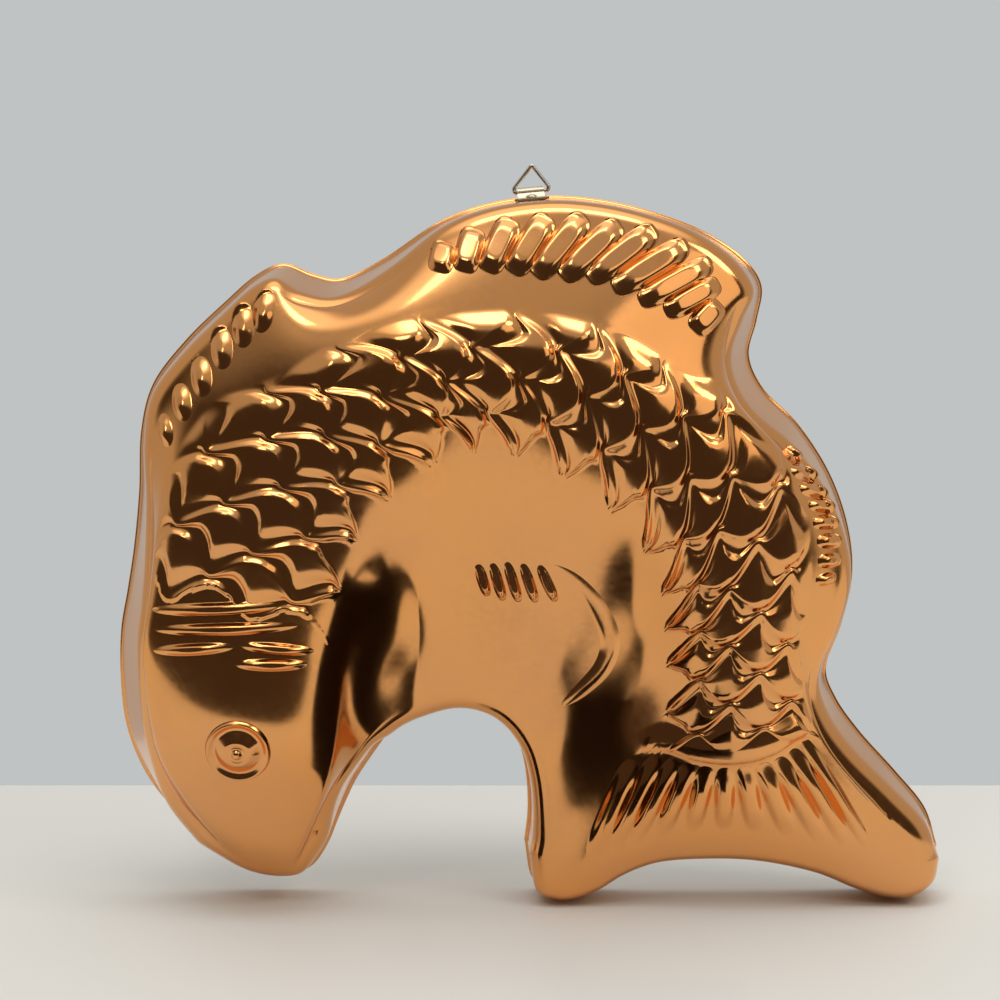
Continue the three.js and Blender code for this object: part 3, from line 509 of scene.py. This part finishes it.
def on_body(stations, rows):
    """Points of the smooth body (x, z, height) at any stations and rows."""
    a = np.clip(stations / last_station, 0, 1) * (len(base_stations) - 1)
    b = np.clip(rows / last_row, 0, 1) * (len(base_rows) - 1)
    i = np.clip(a.astype(int), 0, len(base_stations) - 2)
    j = np.clip(b.astype(int), 0, len(base_rows) - 2)
    wide = np.pad(body_grid, ((1, 1), (1, 1), (0, 0)), mode="reflect", reflect_type="odd")
    along, across = cubic_weights(a - i), cubic_weights(b - j)
    found = 0
    for m in range(4):
        for n in range(4):
            found = found + (along[m] * across[n])[..., None] * wide[i + m, j + n]
    return found


print("body between", body_grid.reshape(-1, 3).min(0).round(1), body_grid.reshape(-1, 3).max(0).round(1))

# %% [markdown]
# ## The scales
# The scales are pressed in one zigzag chain after another. Each chain is the free edge of a
# row of scales: a soft dome rises towards the tail and drops in a short bright step. The
# next chain is shifted by half a scale, so that the scales sit like roof tiles.

# %% The lattice of scales
scale_length = 22.3
scale_stations = [
    (-1, 6.8), (0, 8.55), (1, 10.52), (2, 12.96), (3, 16.71), (4, 18.69), (5, 20.68),
    (6, 23.02), (7, 26.0), (8, 28.67), (9, 30.84), (10, 32.84), (11, 34.5), (12, 36.05),
]
rows_of_scales = 4.5
first_chain, last_chain = -3, 24
chain_swing = 0.18
lean = 0.14
cusp_softness = 0.22
step_width = 3.3
scale_rise = 1.9
cusp_share = 0.45
scale_width = 13.0
scales_start, scales_end = 5.9, 36.7
crown_start, crown_end, below_crown = 10.5, 27.5, 0.62
inner_edge, inner_wave = 4.1, 0.32

station_of_scale = track([(-4, 1.6), (-3, 3.3), (-2, 5.05), *scale_stations, (13, 37.5), (14, 39)])
scale_of_station = track([(1.6, -4), (3.3, -3), (5.05, -2), *[(s, n) for n, s in scale_stations],
                          (37.5, 13), (39, 14)])


def across_of_row(rows):
    return rows_of_scales * (rows - row_keys[1]) / (row_keys[3] - row_keys[1])


def bulge(chain, across):
    """1 in the middle of a scale's free edge, 0 at the cusp between two scales."""
    turn = (across + 0.55 - (np.asarray(chain) % 2)) % 2 - 1
    turn = turn - lean * (1 - turn * turn)
    wave = np.cos(0.5 * math.pi * turn)
    soft = np.sqrt(wave ** 2 + cusp_softness ** 2) - cusp_softness
    return soft / (math.sqrt(1 + cusp_softness ** 2) - cusp_softness)


def chain_place(chain, across):
    return 0.5 * chain + 0.25 - chain_swing + 2 * chain_swing * bulge(chain, across)


def step_reach(chain, across, start, end):
    """How far a scale's edge takes to fall: further where the edge runs along the body."""
    nudge = 0.02
    slope = (chain_place(chain, across + nudge) - start) / nudge * scale_length / scale_width
    reach = step_width * (1 + 1.1 * np.clip(-slope, 0, 1.4) + 0.2 * np.clip(slope, 0, 1))
    return np.minimum(reach / scale_length, 0.62 * (end - start))


def smooth(value):
    value = np.clip(value, 0, 1)
    return value * value * (3 - 2 * value)


def scale_relief(stations, rows):
    across = across_of_row(rows)
    along = scale_of_station(stations.ravel()).reshape(stations.shape)
    chains = np.arange(first_chain, last_chain + 1)
    places = chain_place(chains.reshape(-1, *[1] * along.ndim), across[None])
    strip = (places <= along[None]).sum(0) - 1
    inside = (strip >= 0) & (strip < len(chains) - 1)
    k = np.clip(strip, 0, len(chains) - 2)
    start = np.take_along_axis(places, k[None], 0)[0]
    end = np.take_along_axis(places, k[None] + 1, 0)[0]
    before, after = bulge(chains[k], across), bulge(chains[k] + 1, across)
    width = step_reach(chains[k], across, start, end)
    fall = np.clip((along - start) / width, 0, 1)
    rest = np.clip((along - start - width) / np.maximum(end - start - width, 1e-6), 0, 1)
    drop = 1 - (1 - (1 - fall) ** 2.2) ** 1.35
    edge_before = scale_rise * (cusp_share + (1 - cusp_share) * before)
    edge_after = scale_rise * (cusp_share + (1 - cusp_share) * after)
    dome = 0.75 * smooth(rest / 0.4) + 0.25 * rest
    height = edge_before * drop * (fall < 1) + edge_after * dome
    near_crown = smooth((stations - crown_start) / 2.0) * smooth((crown_end - stations) / 2.0)
    low_start = below_crown * near_crown
    outer_fade = smooth((across + 0.35 - low_start) / 0.75)
    lobes = inner_edge + inner_wave * np.cos(2 * math.pi * (along - 0.5))
    inner_fade = smooth((lobes - across) / 0.14 + 0.5)
    return np.where(inside, height, 0) * outer_fade * inner_fade


# %% Columns and rows of the fine grid
step_columns, rest_columns = 6, 7
head_columns, gill_columns, tail_columns = 24, 46, 37
gill_start = 3.5
row_total = 126
fine_rows = np.linspace(0, last_row, row_total + 1)


def fine_stations():
    """Where each column crosses each row: on the scales, columns follow the chains."""
    rows = fine_rows
    across = across_of_row(rows)
    chains = np.arange(first_chain, last_chain + 1)
    lines, evens = [], []
    place = lambda p: station_of_scale(np.broadcast_to(p, rows.shape))
    first = place(chain_place(first_chain, across))
    for k in range(head_columns):
        lines.append(np.full_like(rows, gill_start * k / head_columns))
        evens.append(lines[-1])
    for k in range(gill_columns):
        lines.append(gill_start + (first - gill_start) * k / gill_columns)
        even = float(place(0.5 * first_chain + 0.25)[0])
        evens.append(np.full_like(rows, gill_start + (even - gill_start) * k / gill_columns))
    for chain in chains[:-1]:
        start, end = chain_place(chain, across), chain_place(chain + 1, across)
        width = step_reach(chain, across, start, end)
        count = step_columns + rest_columns
        for k in range(count):
            if k < step_columns:
                lines.append(place(start + width * k / step_columns))
            else:
                share = (k - step_columns) / rest_columns
                lines.append(place(start + width + (end - start - width) * share))
            evens.append(place(0.5 * chain + 0.25 + 0.5 * k / count))
    last = place(chain_place(last_chain, across))
    even = float(place(0.5 * last_chain + 0.25)[0])
    for k in range(tail_columns + 1):
        share = k / tail_columns
        lines.append(last + (last_station - last) * share)
        evens.append(np.full_like(rows, even + (last_station - even) * share))
    follow = smooth((rows - 2.0) / 1.8) * smooth((19.6 - rows) / 3.0)
    lines, evens = np.array(lines), np.array(evens)
    return evens + (lines - evens) * follow[None]


grid_stations = fine_stations()
grid_rows = np.broadcast_to(fine_rows, grid_stations.shape)
print("the face has", grid_stations.shape[0] - 1, "by", row_total, "quads")
assert (np.diff(grid_stations, axis=0) > 0).all(), "two columns cross"

# %% [markdown]
# ## Fins, gills and tail
# The fins are rows of raised bars with dark grooves between them. The gills are five bars
# across the neck, the fin on the belly is marked by five short tongues beside a curved fold,
# and the tail has a raised lip with rays below it. Each is drawn as lines with a width.

# %% Bars and rays
dorsal_rays = [
    ((-17.5, 90), (-20, 79.5), 4.4), ((-8, 94.5), (-12, 79.5), 4.7), ((4, 97.5), (-4.5, 79.5), 4.9),
    ((16, 98.5), (3.5, 79), 5.0), ((28, 98.5), (11, 78), 5.0), ((39.5, 96), (19.5, 77.5), 5.0),
    ((51, 94), (28, 77), 4.9), ((61.5, 89), (36, 74), 4.8), ((69.5, 83), (44.5, 70), 4.5),
    ((72, 76.5), (53, 66.5), 4.2), ((72, 70), (62.5, 60.5), 4.6),
]
cheek_leaves = [
    ((-75.5, 74.5), (-78.5, 59.5), 4.1), ((-84, 70), (-83.8, 54.5), 4.2),
    ((-91.5, 62.5), (-90.4, 47.5), 4.2), ((-98.5, 53), (-96.8, 38.5), 4.1),
    ((-105, 44), (-103.2, 30.5), 3.8), ((-110.5, 34), (-108.8, 22), 3.0),
]
rear_ridges = [
    ((94, 21.5), (99.5, 17.5), 2.2), ((94.5, 16), (105, 11.5), 2.7), ((97.5, 10), (108.5, 5.5), 2.7),
    ((101, 4), (111, 1), 2.7), ((102.5, -2.5), (112.5, -4), 2.7),
    ((104, -9), (113.5, -10), 2.8), ((104.5, -16), (113.5, -16), 2.8),
    ((104, -23), (112, -21.5), 2.4),
]
gill_bars = [
    ((-117, -31.5), (-66, -28.5), 2.6), ((-116, -38), (-64, -35.5), 2.4),
    ((-115.5, -45.2), (-86, -42.5), 2.3), ((-85.5, -42), (-60, -44.7), 2.3),
    ((-87.5, -48.5), (-62, -49), 2.4),
]
belly_tongues = [
    ((-7.6, -16.5), (-4, -28.5), 2.0), ((-2.8, -16), (1.2, -30), 2.0), ((2, -15.5), (6.4, -30.5), 2.0),
    ((7.2, -16), (12, -30.5), 2.0), ((12.6, -16.5), (18.6, -30), 2.0),
]
belly_edge = [
    (14.8, -15.6), (24.6, -22.2), (32.3, -32), (36.7, -43.4), (34.5, -52.7), (27.3, -60.8), (20, -67),
]


def bar_relief(flat, bars):
    """Height share of the nearest bar: a round-backed bar with rounded ends."""
    best = np.zeros(flat.shape[:-1])
    for start, end, half in bars:
        start, run = np.array(start, float), np.array(end, float) - np.array(start, float)
        pull = 0.7 * half / np.linalg.norm(run)
        start, run = start + run * pull, run * (1 - 2 * pull)
        share = np.clip((flat - start) @ run / (run @ run), 0, 1)
        away = np.linalg.norm(flat - (start + share[..., None] * run), axis=-1)
        best = np.maximum(best, 1 - smooth((away / half - 0.5) / 0.55))
    return best


tail_collar = 37.0
tail_grooves = [4.4, 5.6, 6.9, 8.1, 9.3, 10.5, 11.7, 12.9, 14.1, 15.4, 16.8, 18.3]
tail_lip_rise, tail_ray_rise = 1.5, 2.2
ray_middle, ray_end = 38.0, 38.6


def lip_station(rows):
    return tail_collar - 0.022 * (rows - 10.5) ** 2


def tail_relief(stations, rows):
    lip = lip_station(rows)
    inside = smooth((rows - 3.4) / 1.2) * smooth((17.6 - rows) / 1.2)
    collar = smooth((stations - lip + 0.75) / 0.55) * (1 - smooth((stations - lip) / 0.16))
    return inside * tail_lip_rise * collar


def pressed_relief(stations, rows):
    """All that the press adds to the smooth body, in millimetres."""
    on_scales = smooth((stations - scales_start) / 0.35) * smooth((scales_end - stations) / 0.4)
    return scale_relief(stations, rows) * on_scales + tail_relief(stations, rows)

# %% [markdown]
# ## The copper shell
# The fine face starts as a flat grid primitive, which is draped over the body with the
# relief pressed out along its normals. Its border is extruded over the rounded shoulder and
# down the walls to the lip.

# %% Place of the drawing in the frame
mould_size = (284.0, 241.0)
drawn = np.concatenate([np.array(back_outline), np.array(tail_outline)[:, 1:],
                        np.array(snout_outline)[:, 1:]])
drawn_low, drawn_high = drawn.min(0), drawn.max(0)
stretch = np.array(mould_size) / (drawn_high - drawn_low)
shell_low, shell_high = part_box("mould_shell")
rim_points = rim_path(base_stations, shares)[0] * stretch
rim_low, rim_high = rim_points.min(0), rim_points.max(0)
offset = np.array([
    0.5 * (shell_low.x + shell_high.x) / MM - 0.5 * (rim_low[0] + rim_high[0]),
    shell_high.y / MM,
    0.5 * (shell_low.z + shell_high.z) / MM - 0.5 * (rim_low[1] + rim_high[1]),
])
print("drawing moved by", offset.round(2), "mm")


def to_metres(points):
    stretched = points * np.array([stretch[0], 1, stretch[1]])
    return (stretched + offset) * MM


# %% The draped face
def drape(stations, rows, relief, depth=0.0):
    """Points of the pressed face in drawing millimetres: x, y and z, with -y outwards."""
    as_xyz = lambda p: np.stack([p[..., 0], -p[..., 2], p[..., 1]], -1)
    nudge = 0.03
    point = as_xyz(on_body(stations, rows))
    along = as_xyz(on_body(stations + nudge, rows) - on_body(stations - nudge, rows))
    across = as_xyz(on_body(stations, rows + nudge) - on_body(stations, rows - nudge))
    normal = np.cross(along, across)
    normal /= np.maximum(np.linalg.norm(normal, axis=-1), 1e-9)[..., None]
    normal *= -np.sign(np.median(normal[..., 1]))
    lift = relief - depth
    lift = np.where(np.pad(np.ones(np.array(lift.shape) - 2, bool), 1), lift, 0)
    return point + normal * lift[..., None]


face_relief = pressed_relief(grid_stations, grid_rows)
face_points = drape(grid_stations, grid_rows, face_relief)
print("relief from", round(float(face_relief.min()), 2), "to", round(float(face_relief.max()), 2), "mm")


def grid_object(name, points):
    """A grid primitive whose vertices are laid on an array of points."""
    columns, rows = points.shape[:2]
    bpy.ops.mesh.primitive_grid_add(x_subdivisions=columns - 1, y_subdivisions=rows - 1, size=1)
    grid = bpy.context.object
    grid.name = name
    laid = to_metres(points.transpose(1, 0, 2).reshape(-1, 3))
    grid.data.vertices.foreach_set("co", laid.astype(np.float32).ravel())
    grid.data.update()
    return grid


def border_of(points):
    """The border of an array of points in the order of the rim path."""
    return np.concatenate([points[:, 0], points[-1, 1:], points[::-1, -1][1:], points[0, ::-1][1:-1]])


# %% Rings of the wall
softest_shoulder, sharpest_shoulder = 9.0, 3.0


def shoulder_radii(insets, slopes):
    """As soft as the wall leaves room for, evened out along the rim."""
    widest = np.clip((insets - lip_width - 0.8) / (0.98 - np.sin(slopes)),
                     sharpest_shoulder, softest_shoulder)
    radii = widest
    for _ in range(80):
        radii = np.minimum(widest, 0.5 * radii + 0.25 * (np.roll(radii, 1) + np.roll(radii, -1)))
    return radii


def wall_section(rim, inside=0.0):
    """Rings over the shoulder and down the wall, as pairs of inset and height."""
    points, heights, insets, inward, slopes, outer_radius = rim
    radius = outer_radius - inside
    centre_in = insets + outer_radius * np.sin(slopes)
    centre_up = heights - outer_radius * np.cos(slopes)
    tilt = np.full_like(insets, math.radians(8))
    for _ in range(4):
        foot_in = centre_in - outer_radius * np.cos(tilt)
        foot_up = centre_up + outer_radius * np.sin(tilt)
        tilt = np.arctan2(foot_in - lip_width, foot_up - lip_thickness)
    rings = []
    steps = 8 if not inside else 3
    for k in range(1, steps + 1):
        turn = slopes + (0.5 * math.pi - tilt - slopes) * k / steps
        rings.append((centre_in - radius * np.sin(turn), centre_up + radius * np.cos(turn)))
    foot_in, foot_up = rings[-1]
    for share in ((0.2, 0.45, 0.7, 0.9) if not inside else (0.5,)):
        rings.append((foot_in + (lip_width + inside - foot_in) * share,
                      foot_up + (lip_thickness - foot_up) * share))
    flat = np.ones_like(insets)
    if inside:
        rings.append(((lip_width + inside) * flat, 0.0 * flat))
    else:
        lip = [(0.75, -0.1), (0.25, -0.12), (0.0, -0.35), (0.0, -0.7), (0.2, -0.9)]
        for share, rise in lip:
            rings.append((lip_width * share * flat, (lip_thickness + rise) * flat))
    return [np.stack([points[:, 0] + inward[:, 0] * a, -b, points[:, 1] + inward[:, 1] * a], 1)
            for a, b in rings]


def border_slopes(points):
    """How steeply the face climbs from its border, evened out along the rim."""
    border = border_of(points)
    inner = points[1:-1, 1:-1]
    inner = np.concatenate([inner[:1], inner, inner[-1:]])
    inner = np.concatenate([inner[:, :1], inner, inner[:, -1:]], 1)
    step = border_of(inner) - border
    slope = np.arctan2(-step[:, 1], np.linalg.norm(step[:, [0, 2]], axis=1))
    slope = np.clip(slope, 0, math.radians(40))
    for _ in range(60):
        slope = 0.5 * slope + 0.25 * (np.roll(slope, 1) + np.roll(slope, -1))
    return slope


# %% Extruding the border
def extrude_border(shell, before, after):
    """Extrudes the open border once and lays the new ring on the given points."""
    bpy.ops.object.mode_set(mode="EDIT")
    bpy.ops.mesh.select_mode(type="EDGE")
    bpy.ops.mesh.select_all(action="DESELECT")
    bpy.ops.mesh.select_non_manifold(extend=False, use_wire=False, use_multi_face=False,
                                     use_non_contiguous=False, use_verts=False)
    bpy.ops.mesh.extrude_region_move()
    bpy.ops.object.mode_set(mode="OBJECT")
    vertices = shell.data.vertices
    first = len(vertices) - len(after)
    tree = KDTree(len(before))
    for k, point in enumerate(to_metres(before)):
        tree.insert(point, k)
    tree.balance()
    target = to_metres(after)
    for vertex in vertices[first:]:
        vertex.co = target[tree.find(vertex.co)[1]]


def rim_of_face():
    """What the wall follows at each point of the rim."""
    points, heights, insets = rim_path(
        grid_stations[:, 0], np.linspace(0, 1, face_points.shape[1]))
    slopes = border_slopes(face_points)
    return points, heights, insets, inward_directions(points), slopes, shoulder_radii(insets, slopes)


face_rim = rim_of_face()


def build_skin(name, points, inside=0.0):
    """The face and its wall. The lining has every second point of the rim."""
    skin = grid_object(name, points)
    every = 2 if inside else 1
    before = border_of(points)
    for ring in wall_section([values[::every] for values in face_rim], inside):
        extrude_border(skin, before, ring)
        before = ring
    return skin


shell = build_skin("copper_shell", face_points)
print("outer skin:", len(shell.data.polygons), "faces")

# %% [markdown]
# ## The lining
# The tinned inside is a second skin, one sheet's thickness below the first, with half its
# rows and columns. Its relief is softer, as the back of pressed metal is. The two skins
# meet at the lip.

# %% The lining
back_of_bars = 0.35


def inner_relief():
    flat = on_body(grid_stations, grid_rows)[..., :2]
    relief = face_relief + 0
    for bars in (dorsal_rays, cheek_leaves, gill_bars, rear_ridges, belly_tongues):
        relief = relief + back_of_bars * bar_relief(flat, bars)
    relief = even_out(relief[..., None], 3)[..., 0]
    return relief[::2, ::2]


def walk_border(mesh):
    """The open borders of a mesh, each as its vertices in order."""
    ahead = {}
    for edge in mesh.edges:
        if edge.is_boundary:
            for one, other in (tuple(edge.verts), tuple(edge.verts)[::-1]):
                ahead.setdefault(one, []).append(other)
    loops, seen = [], set()
    for start in ahead:
        if start in seen:
            continue
        loop = [start]
        seen.add(start)
        while True:
            free = [vertex for vertex in ahead[loop[-1]] if vertex not in seen]
            if not free:
                break
            loop.append(free[0])
            seen.add(free[0])
        loops.append(loop)
    return sorted(loops, key=len)


def close_lip(shell):
    """Joins the lining's border to the outer one, which has twice as many points."""
    mesh = bmesh.new()
    mesh.from_mesh(shell.data)
    inner, outer = walk_border(mesh)
    turn = lambda loop: sum(
        a.co.x * b.co.z - b.co.x * a.co.z for a, b in zip(loop, loop[1:] + loop[:1]))
    if turn(inner) * turn(outer) < 0:
        outer = outer[::-1]
    nearest = min(range(len(outer)), key=lambda k: (outer[k].co - inner[0].co).length)
    outer = outer[nearest:] + outer[:nearest]
    count = len(outer)
    for k, corner in enumerate(inner):
        next_corner = inner[(k + 1) % len(inner)]
        a, b, c = (outer[(2 * k + m) % count] for m in range(3))
        mesh.faces.new((corner, a, b))
        mesh.faces.new((corner, b, next_corner))
        mesh.faces.new((next_corner, b, c))
    mesh.to_mesh(shell.data)
    mesh.free()


def build_shell():
    inner_stations, inner_rows = grid_stations[::2, ::2], grid_rows[::2, ::2]
    lining_points = drape(inner_stations, inner_rows, inner_relief(), sheet_thickness)
    border = np.zeros(lining_points.shape[:2], bool)
    border[[0, -1]] = True
    border[:, [0, -1]] = True
    lining_points[border] += np.array([0, sheet_thickness, 0])
    lining = build_skin("lining", lining_points, sheet_thickness)
    outer_faces, lining_faces = len(shell.data.polygons), len(lining.data.polygons)
    bpy.ops.object.select_all(action="DESELECT")
    lining.select_set(True)
    shell.select_set(True)
    bpy.context.view_layer.objects.active = shell
    bpy.ops.object.join()
    close_lip(shell)
    bpy.ops.object.mode_set(mode="EDIT")
    bpy.ops.mesh.select_all(action="SELECT")
    bpy.ops.mesh.normals_make_consistent(inside=False)
    bpy.ops.object.mode_set(mode="OBJECT")
    bpy.ops.object.shade_smooth()
    return range(outer_faces, outer_faces + lining_faces)


lining_range = build_shell()


def closed_report(piece):
    mesh = bmesh.new()
    mesh.from_mesh(piece.data)
    open_edges = sum(1 for edge in mesh.edges if len(edge.link_faces) != 2)
    volume = mesh.calc_volume(signed=True)
    triangles = sum(len(face.verts) - 2 for face in mesh.faces)
    mesh.free()
    print(piece.name, triangles, "triangles,", open_edges, "open edges,", round(volume * 1e6, 2), "cm3")


closed_report(shell)

# %% [markdown]
# ## Eye and rays
# The eye, the rays of the fins and the bars of the gills are pressed more crisply than the
# sheet around them. Each starts as a sphere. Its front half is laid over the smooth body as
# a raised form with a soft edge, and its back half stays inside the sheet.

# %% Laying a form on the body
body_drape = drape(
    *np.meshgrid(base_stations, base_rows, indexing="ij"), np.zeros(body_grid.shape[:2]))
body_corners = [Vector(point) for point in to_metres(body_drape.reshape(-1, 3))]
row_stride = len(base_rows)
body_quads = [
    (i * row_stride + j, (i + 1) * row_stride + j, (i + 1) * row_stride + j + 1, i * row_stride + j + 1)
    for i in range(len(base_stations) - 1) for j in range(row_stride - 1)
]
body_tree = BVHTree.FromPolygons(body_corners, body_quads)


in_front, middle_depth = -120.0, -35.0


def body_depth(x, z):
    """How far forward the smooth body stands at a place of the drawing, in metres."""
    start = Vector(to_metres(np.array([x, in_front, z])))
    hit = body_tree.ray_cast(start, Vector((0, 1, 0)))[0]
    if hit is None:
        hit = body_tree.find_nearest(Vector(to_metres(np.array([x, middle_depth, z]))))[0]
    return hit.y


def outward_at(x, z):
    reach = 2.0
    slope_x = (body_depth(x + reach, z) - body_depth(x - reach, z)) / (2 * reach * MM)
    slope_z = (body_depth(x, z + reach) - body_depth(x, z - reach)) / (2 * reach * MM)
    return Vector((slope_x, -1, slope_z)).normalized()


form_sink, form_root = 0.08, 0.25


def lay_form(name, path, half_across, profile, blunt=2.0, rings=20, segments=36):
    """A closed form on the body, laid along a path that runs from -1 to 1. The profile gives
    its height for a share of the half width and a place along the path."""
    bpy.ops.mesh.primitive_uv_sphere_add(segments=segments, ring_count=rings, radius=1)
    form = bpy.context.object
    form.name = name
    outward = outward_at(*path(0.0))
    for vertex in form.data.vertices:
        co = vertex.co
        share = math.acos(max(-1, min(1, abs(co.z)))) / (0.5 * math.pi)
        angle = math.atan2(co.y, co.x)
        c, s = math.cos(angle), math.sin(angle)
        edge = (abs(c) ** blunt + abs(s) ** blunt) ** (-1 / blunt)
        a, b = share * edge * c, share * edge * s
        x, z = path(a)
        ahead, behind = path(a + 0.01), path(a - 0.01)
        run = (ahead[0] - behind[0], ahead[1] - behind[1])
        length = math.hypot(*run)
        x, z = x - b * half_across * run[1] / length, z + b * half_across * run[0] / length
        place = Vector(to_metres(np.array([x, 0.0, z])))
        place.y = body_depth(x, z)
        if co.z >= -1e-6:
            lift = profile(share, a) - form_sink
        else:
            lift = -form_sink - form_root * math.sqrt(max(0, 1 - share * share))
        vertex.co = place + outward * lift * MM
    bpy.ops.object.mode_set(mode="EDIT")
    bpy.ops.mesh.select_all(action="SELECT")
    bpy.ops.mesh.normals_make_consistent(inside=False)
    bpy.ops.object.mode_set(mode="OBJECT")
    bpy.ops.object.shade_smooth()
    form.select_set(False)
    return form


def straight(start, end):
    return lambda a: (start[0] + (end[0] - start[0]) * 0.5 * (a + 1),
                      start[1] + (end[1] - start[1]) * 0.5 * (a + 1))


def join_forms(name, forms):
    bpy.ops.object.select_all(action="DESELECT")
    for form in forms:
        form.select_set(True)
    bpy.context.view_layer.objects.active = forms[0]
    bpy.ops.object.join()
    joined = bpy.context.object
    joined.name = name
    bpy.ops.object.select_all(action="DESELECT")
    print(name, len(joined.data.polygons), "faces")
    return joined


# %% The eye
eye_place = (-86.5, -78.5)
eye_radius = 11.0
eye_profile = [
    (0, 3.5), (0.7, 3.4), (1.3, 2.9), (1.7, 2.3), (2.0, 2.15), (2.4, 2.2), (2.75, 1.85),
    (3.1, 2.2), (4.0, 2.15), (4.6, 1.95), (5.4, 1.45), (6.6, 0.65), (7.5, 0.1), (7.9, -0.05),
    (8.3, 0.05), (9.2, 0.7), (9.9, 1.25), (10.2, 1.3), (10.6, 0.8), (11, 0),
]
eye_heights = track(eye_profile)
eye = lay_form("eye", straight((eye_place[0] - eye_radius, eye_place[1]),
                               (eye_place[0] + eye_radius, eye_place[1])), eye_radius,
               lambda share, a: float(eye_heights(share * eye_radius)[0]), 2.0, 80, 72)

# %% The rays of the fins and the bars of the gills
def lay_bars(name, bars, blunt, crest, rise_start, rise_end):
    """One form for each bar: crest is the share of its width that is flat on top."""
    def form(number, start, end, half):
        def profile(share, a):
            rise = rise_start + (rise_end - rise_start) * 0.5 * (a + 1)
            return rise * (1 - smooth((share - crest) / (1 - crest)))

        return lay_form(f"{name}_{number}", straight(start, end), half, profile, blunt)

    return join_forms(name, [form(n, *bar) for n, bar in enumerate(bars)])


crown_fin = lay_bars("crown_fin", dorsal_rays, 3.6, 0.5, 1.9, 2.3)
cheek_fin = lay_bars("cheek_fin", cheek_leaves, 2.2, 0.2, 1.0, 2.6)
rear_fin = lay_bars("rear_fin", rear_ridges, 2.6, 0.3, 2.0, 2.0)
gills = lay_bars("gill_bars", gill_bars, 2.2, 0.3, 1.7, 1.9)
belly_fin = lay_bars("belly_fin", belly_tongues, 2.6, 0.5, 0.5, 2.2)


def tail_rays():
    rays = []
    for left, right in zip(tail_grooves, tail_grooves[1:]):
        row = np.array([0.5 * (left + right)])
        stations = lip_station(row) + 0.12, np.array([ray_end])
        ends = [on_body(station, row)[0, :2] for station in stations]
        middle = np.array([ray_middle])
        sides = [on_body(middle, np.array([side]))[0, :2] for side in (left, right)]
        half = 0.5 * float(np.linalg.norm(sides[1] - sides[0]))
        rays.append((tuple(ends[0]), tuple(ends[1]), half))
    return rays


def lay_belly_edge():
    edge = track([(n, *point) for n, point in enumerate(belly_edge)])
    span = 0.5 * (len(belly_edge) - 1)
    path = lambda a: tuple(edge(span * (a + 1))[0])
    profile = lambda share, a: 1.1 * (1 - share * share) * (0.45 + 0.55 * smooth(0.5 * (a + 1)))
    return lay_form("belly_edge", path, 3.6, profile, 2.0, 32, 128)


tail_fin = lay_bars("tail_rays", tail_rays(), 3.0, 0.2, tail_ray_rise, tail_ray_rise)
belly_fold = lay_belly_edge()
copper_forms = [eye, crown_fin, cheek_fin, rear_fin, gills, belly_fin, tail_fin, belly_fold]

# %% [markdown]
# ## Copper
# The outside is polished copper with the fine haze of many cleanings. Its colour is the
# metal's own, and the room does the rest. Small dents and wipe marks come from bump.

# %% Copper
def copper_material():
    material, nodes, links, shader = new_material("polished copper")
    cloud = add_noise(nodes, links, Scale=22.0, Detail=5.0, Roughness=0.6)
    fine = add_noise(nodes, links, Scale=420.0, Detail=3.0, Roughness=0.6)
    tint_by_noise(nodes, links, shader, cloud, (0.78, 0.375, 0.15), (0.89, 0.405, 0.125), (0.3, 0.75))
    roughen_by_noise(nodes, links, shader, fine, 0.08, 0.19)
    shader.inputs["Metallic"].default_value = 1.0
    bump = nodes.new("ShaderNodeBump")
    bump.inputs["Strength"].default_value = 0.12
    bump.inputs["Distance"].default_value = 0.0006
    links.new(cloud.outputs["Fac"], bump.inputs["Height"])
    links.new(bump.outputs["Normal"], shader.inputs["Normal"])
    return material


def tin_material():
    material, nodes, links, shader = new_material("tin lining")
    wiped = add_noise(nodes, links, Scale=26.0, Detail=6.0, Roughness=0.65)
    tint_by_noise(nodes, links, shader, wiped, (0.42, 0.40, 0.365), (0.66, 0.65, 0.615), (0.3, 0.65))
    roughen_by_noise(nodes, links, shader, wiped, 0.48, 0.30)
    shader.inputs["Metallic"].default_value = 1.0
    return material


copper = copper_material()
shell.data.materials.clear()
shell.data.materials.append(copper)
shell.data.materials.append(tin_material())
for number in lining_range:
    shell.data.polygons[number].material_index = 1
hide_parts("mould_shell")
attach(shell, "mould")
for form in copper_forms:
    form.data.materials.clear()
    form.data.materials.append(copper)
    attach(form, "mould")


# %% The hanger's metals
def plain_metal(name, colour, roughness):
    material, nodes, links, shader = new_material(name)
    noise = add_noise(nodes, links, Scale=600.0, Detail=3.0)
    tint_by_noise(nodes, links, shader, noise, [c * 0.8 for c in colour], colour)
    shader.inputs["Metallic"].default_value = 1.0
    shader.inputs["Roughness"].default_value = roughness
    return material


wire_metal = plain_metal("bright steel wire", (0.80, 0.80, 0.78), 0.22)
strap_metal = plain_metal("worn nickel", (0.70, 0.62, 0.48), 0.38)
for node_name, metal in (("hanger_ring", wire_metal), ("hanger_strap", strap_metal),
                         ("hanger_rivet", strap_metal)):
    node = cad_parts[node_name]
    node.data.materials.clear()
    node.data.materials.append(metal)
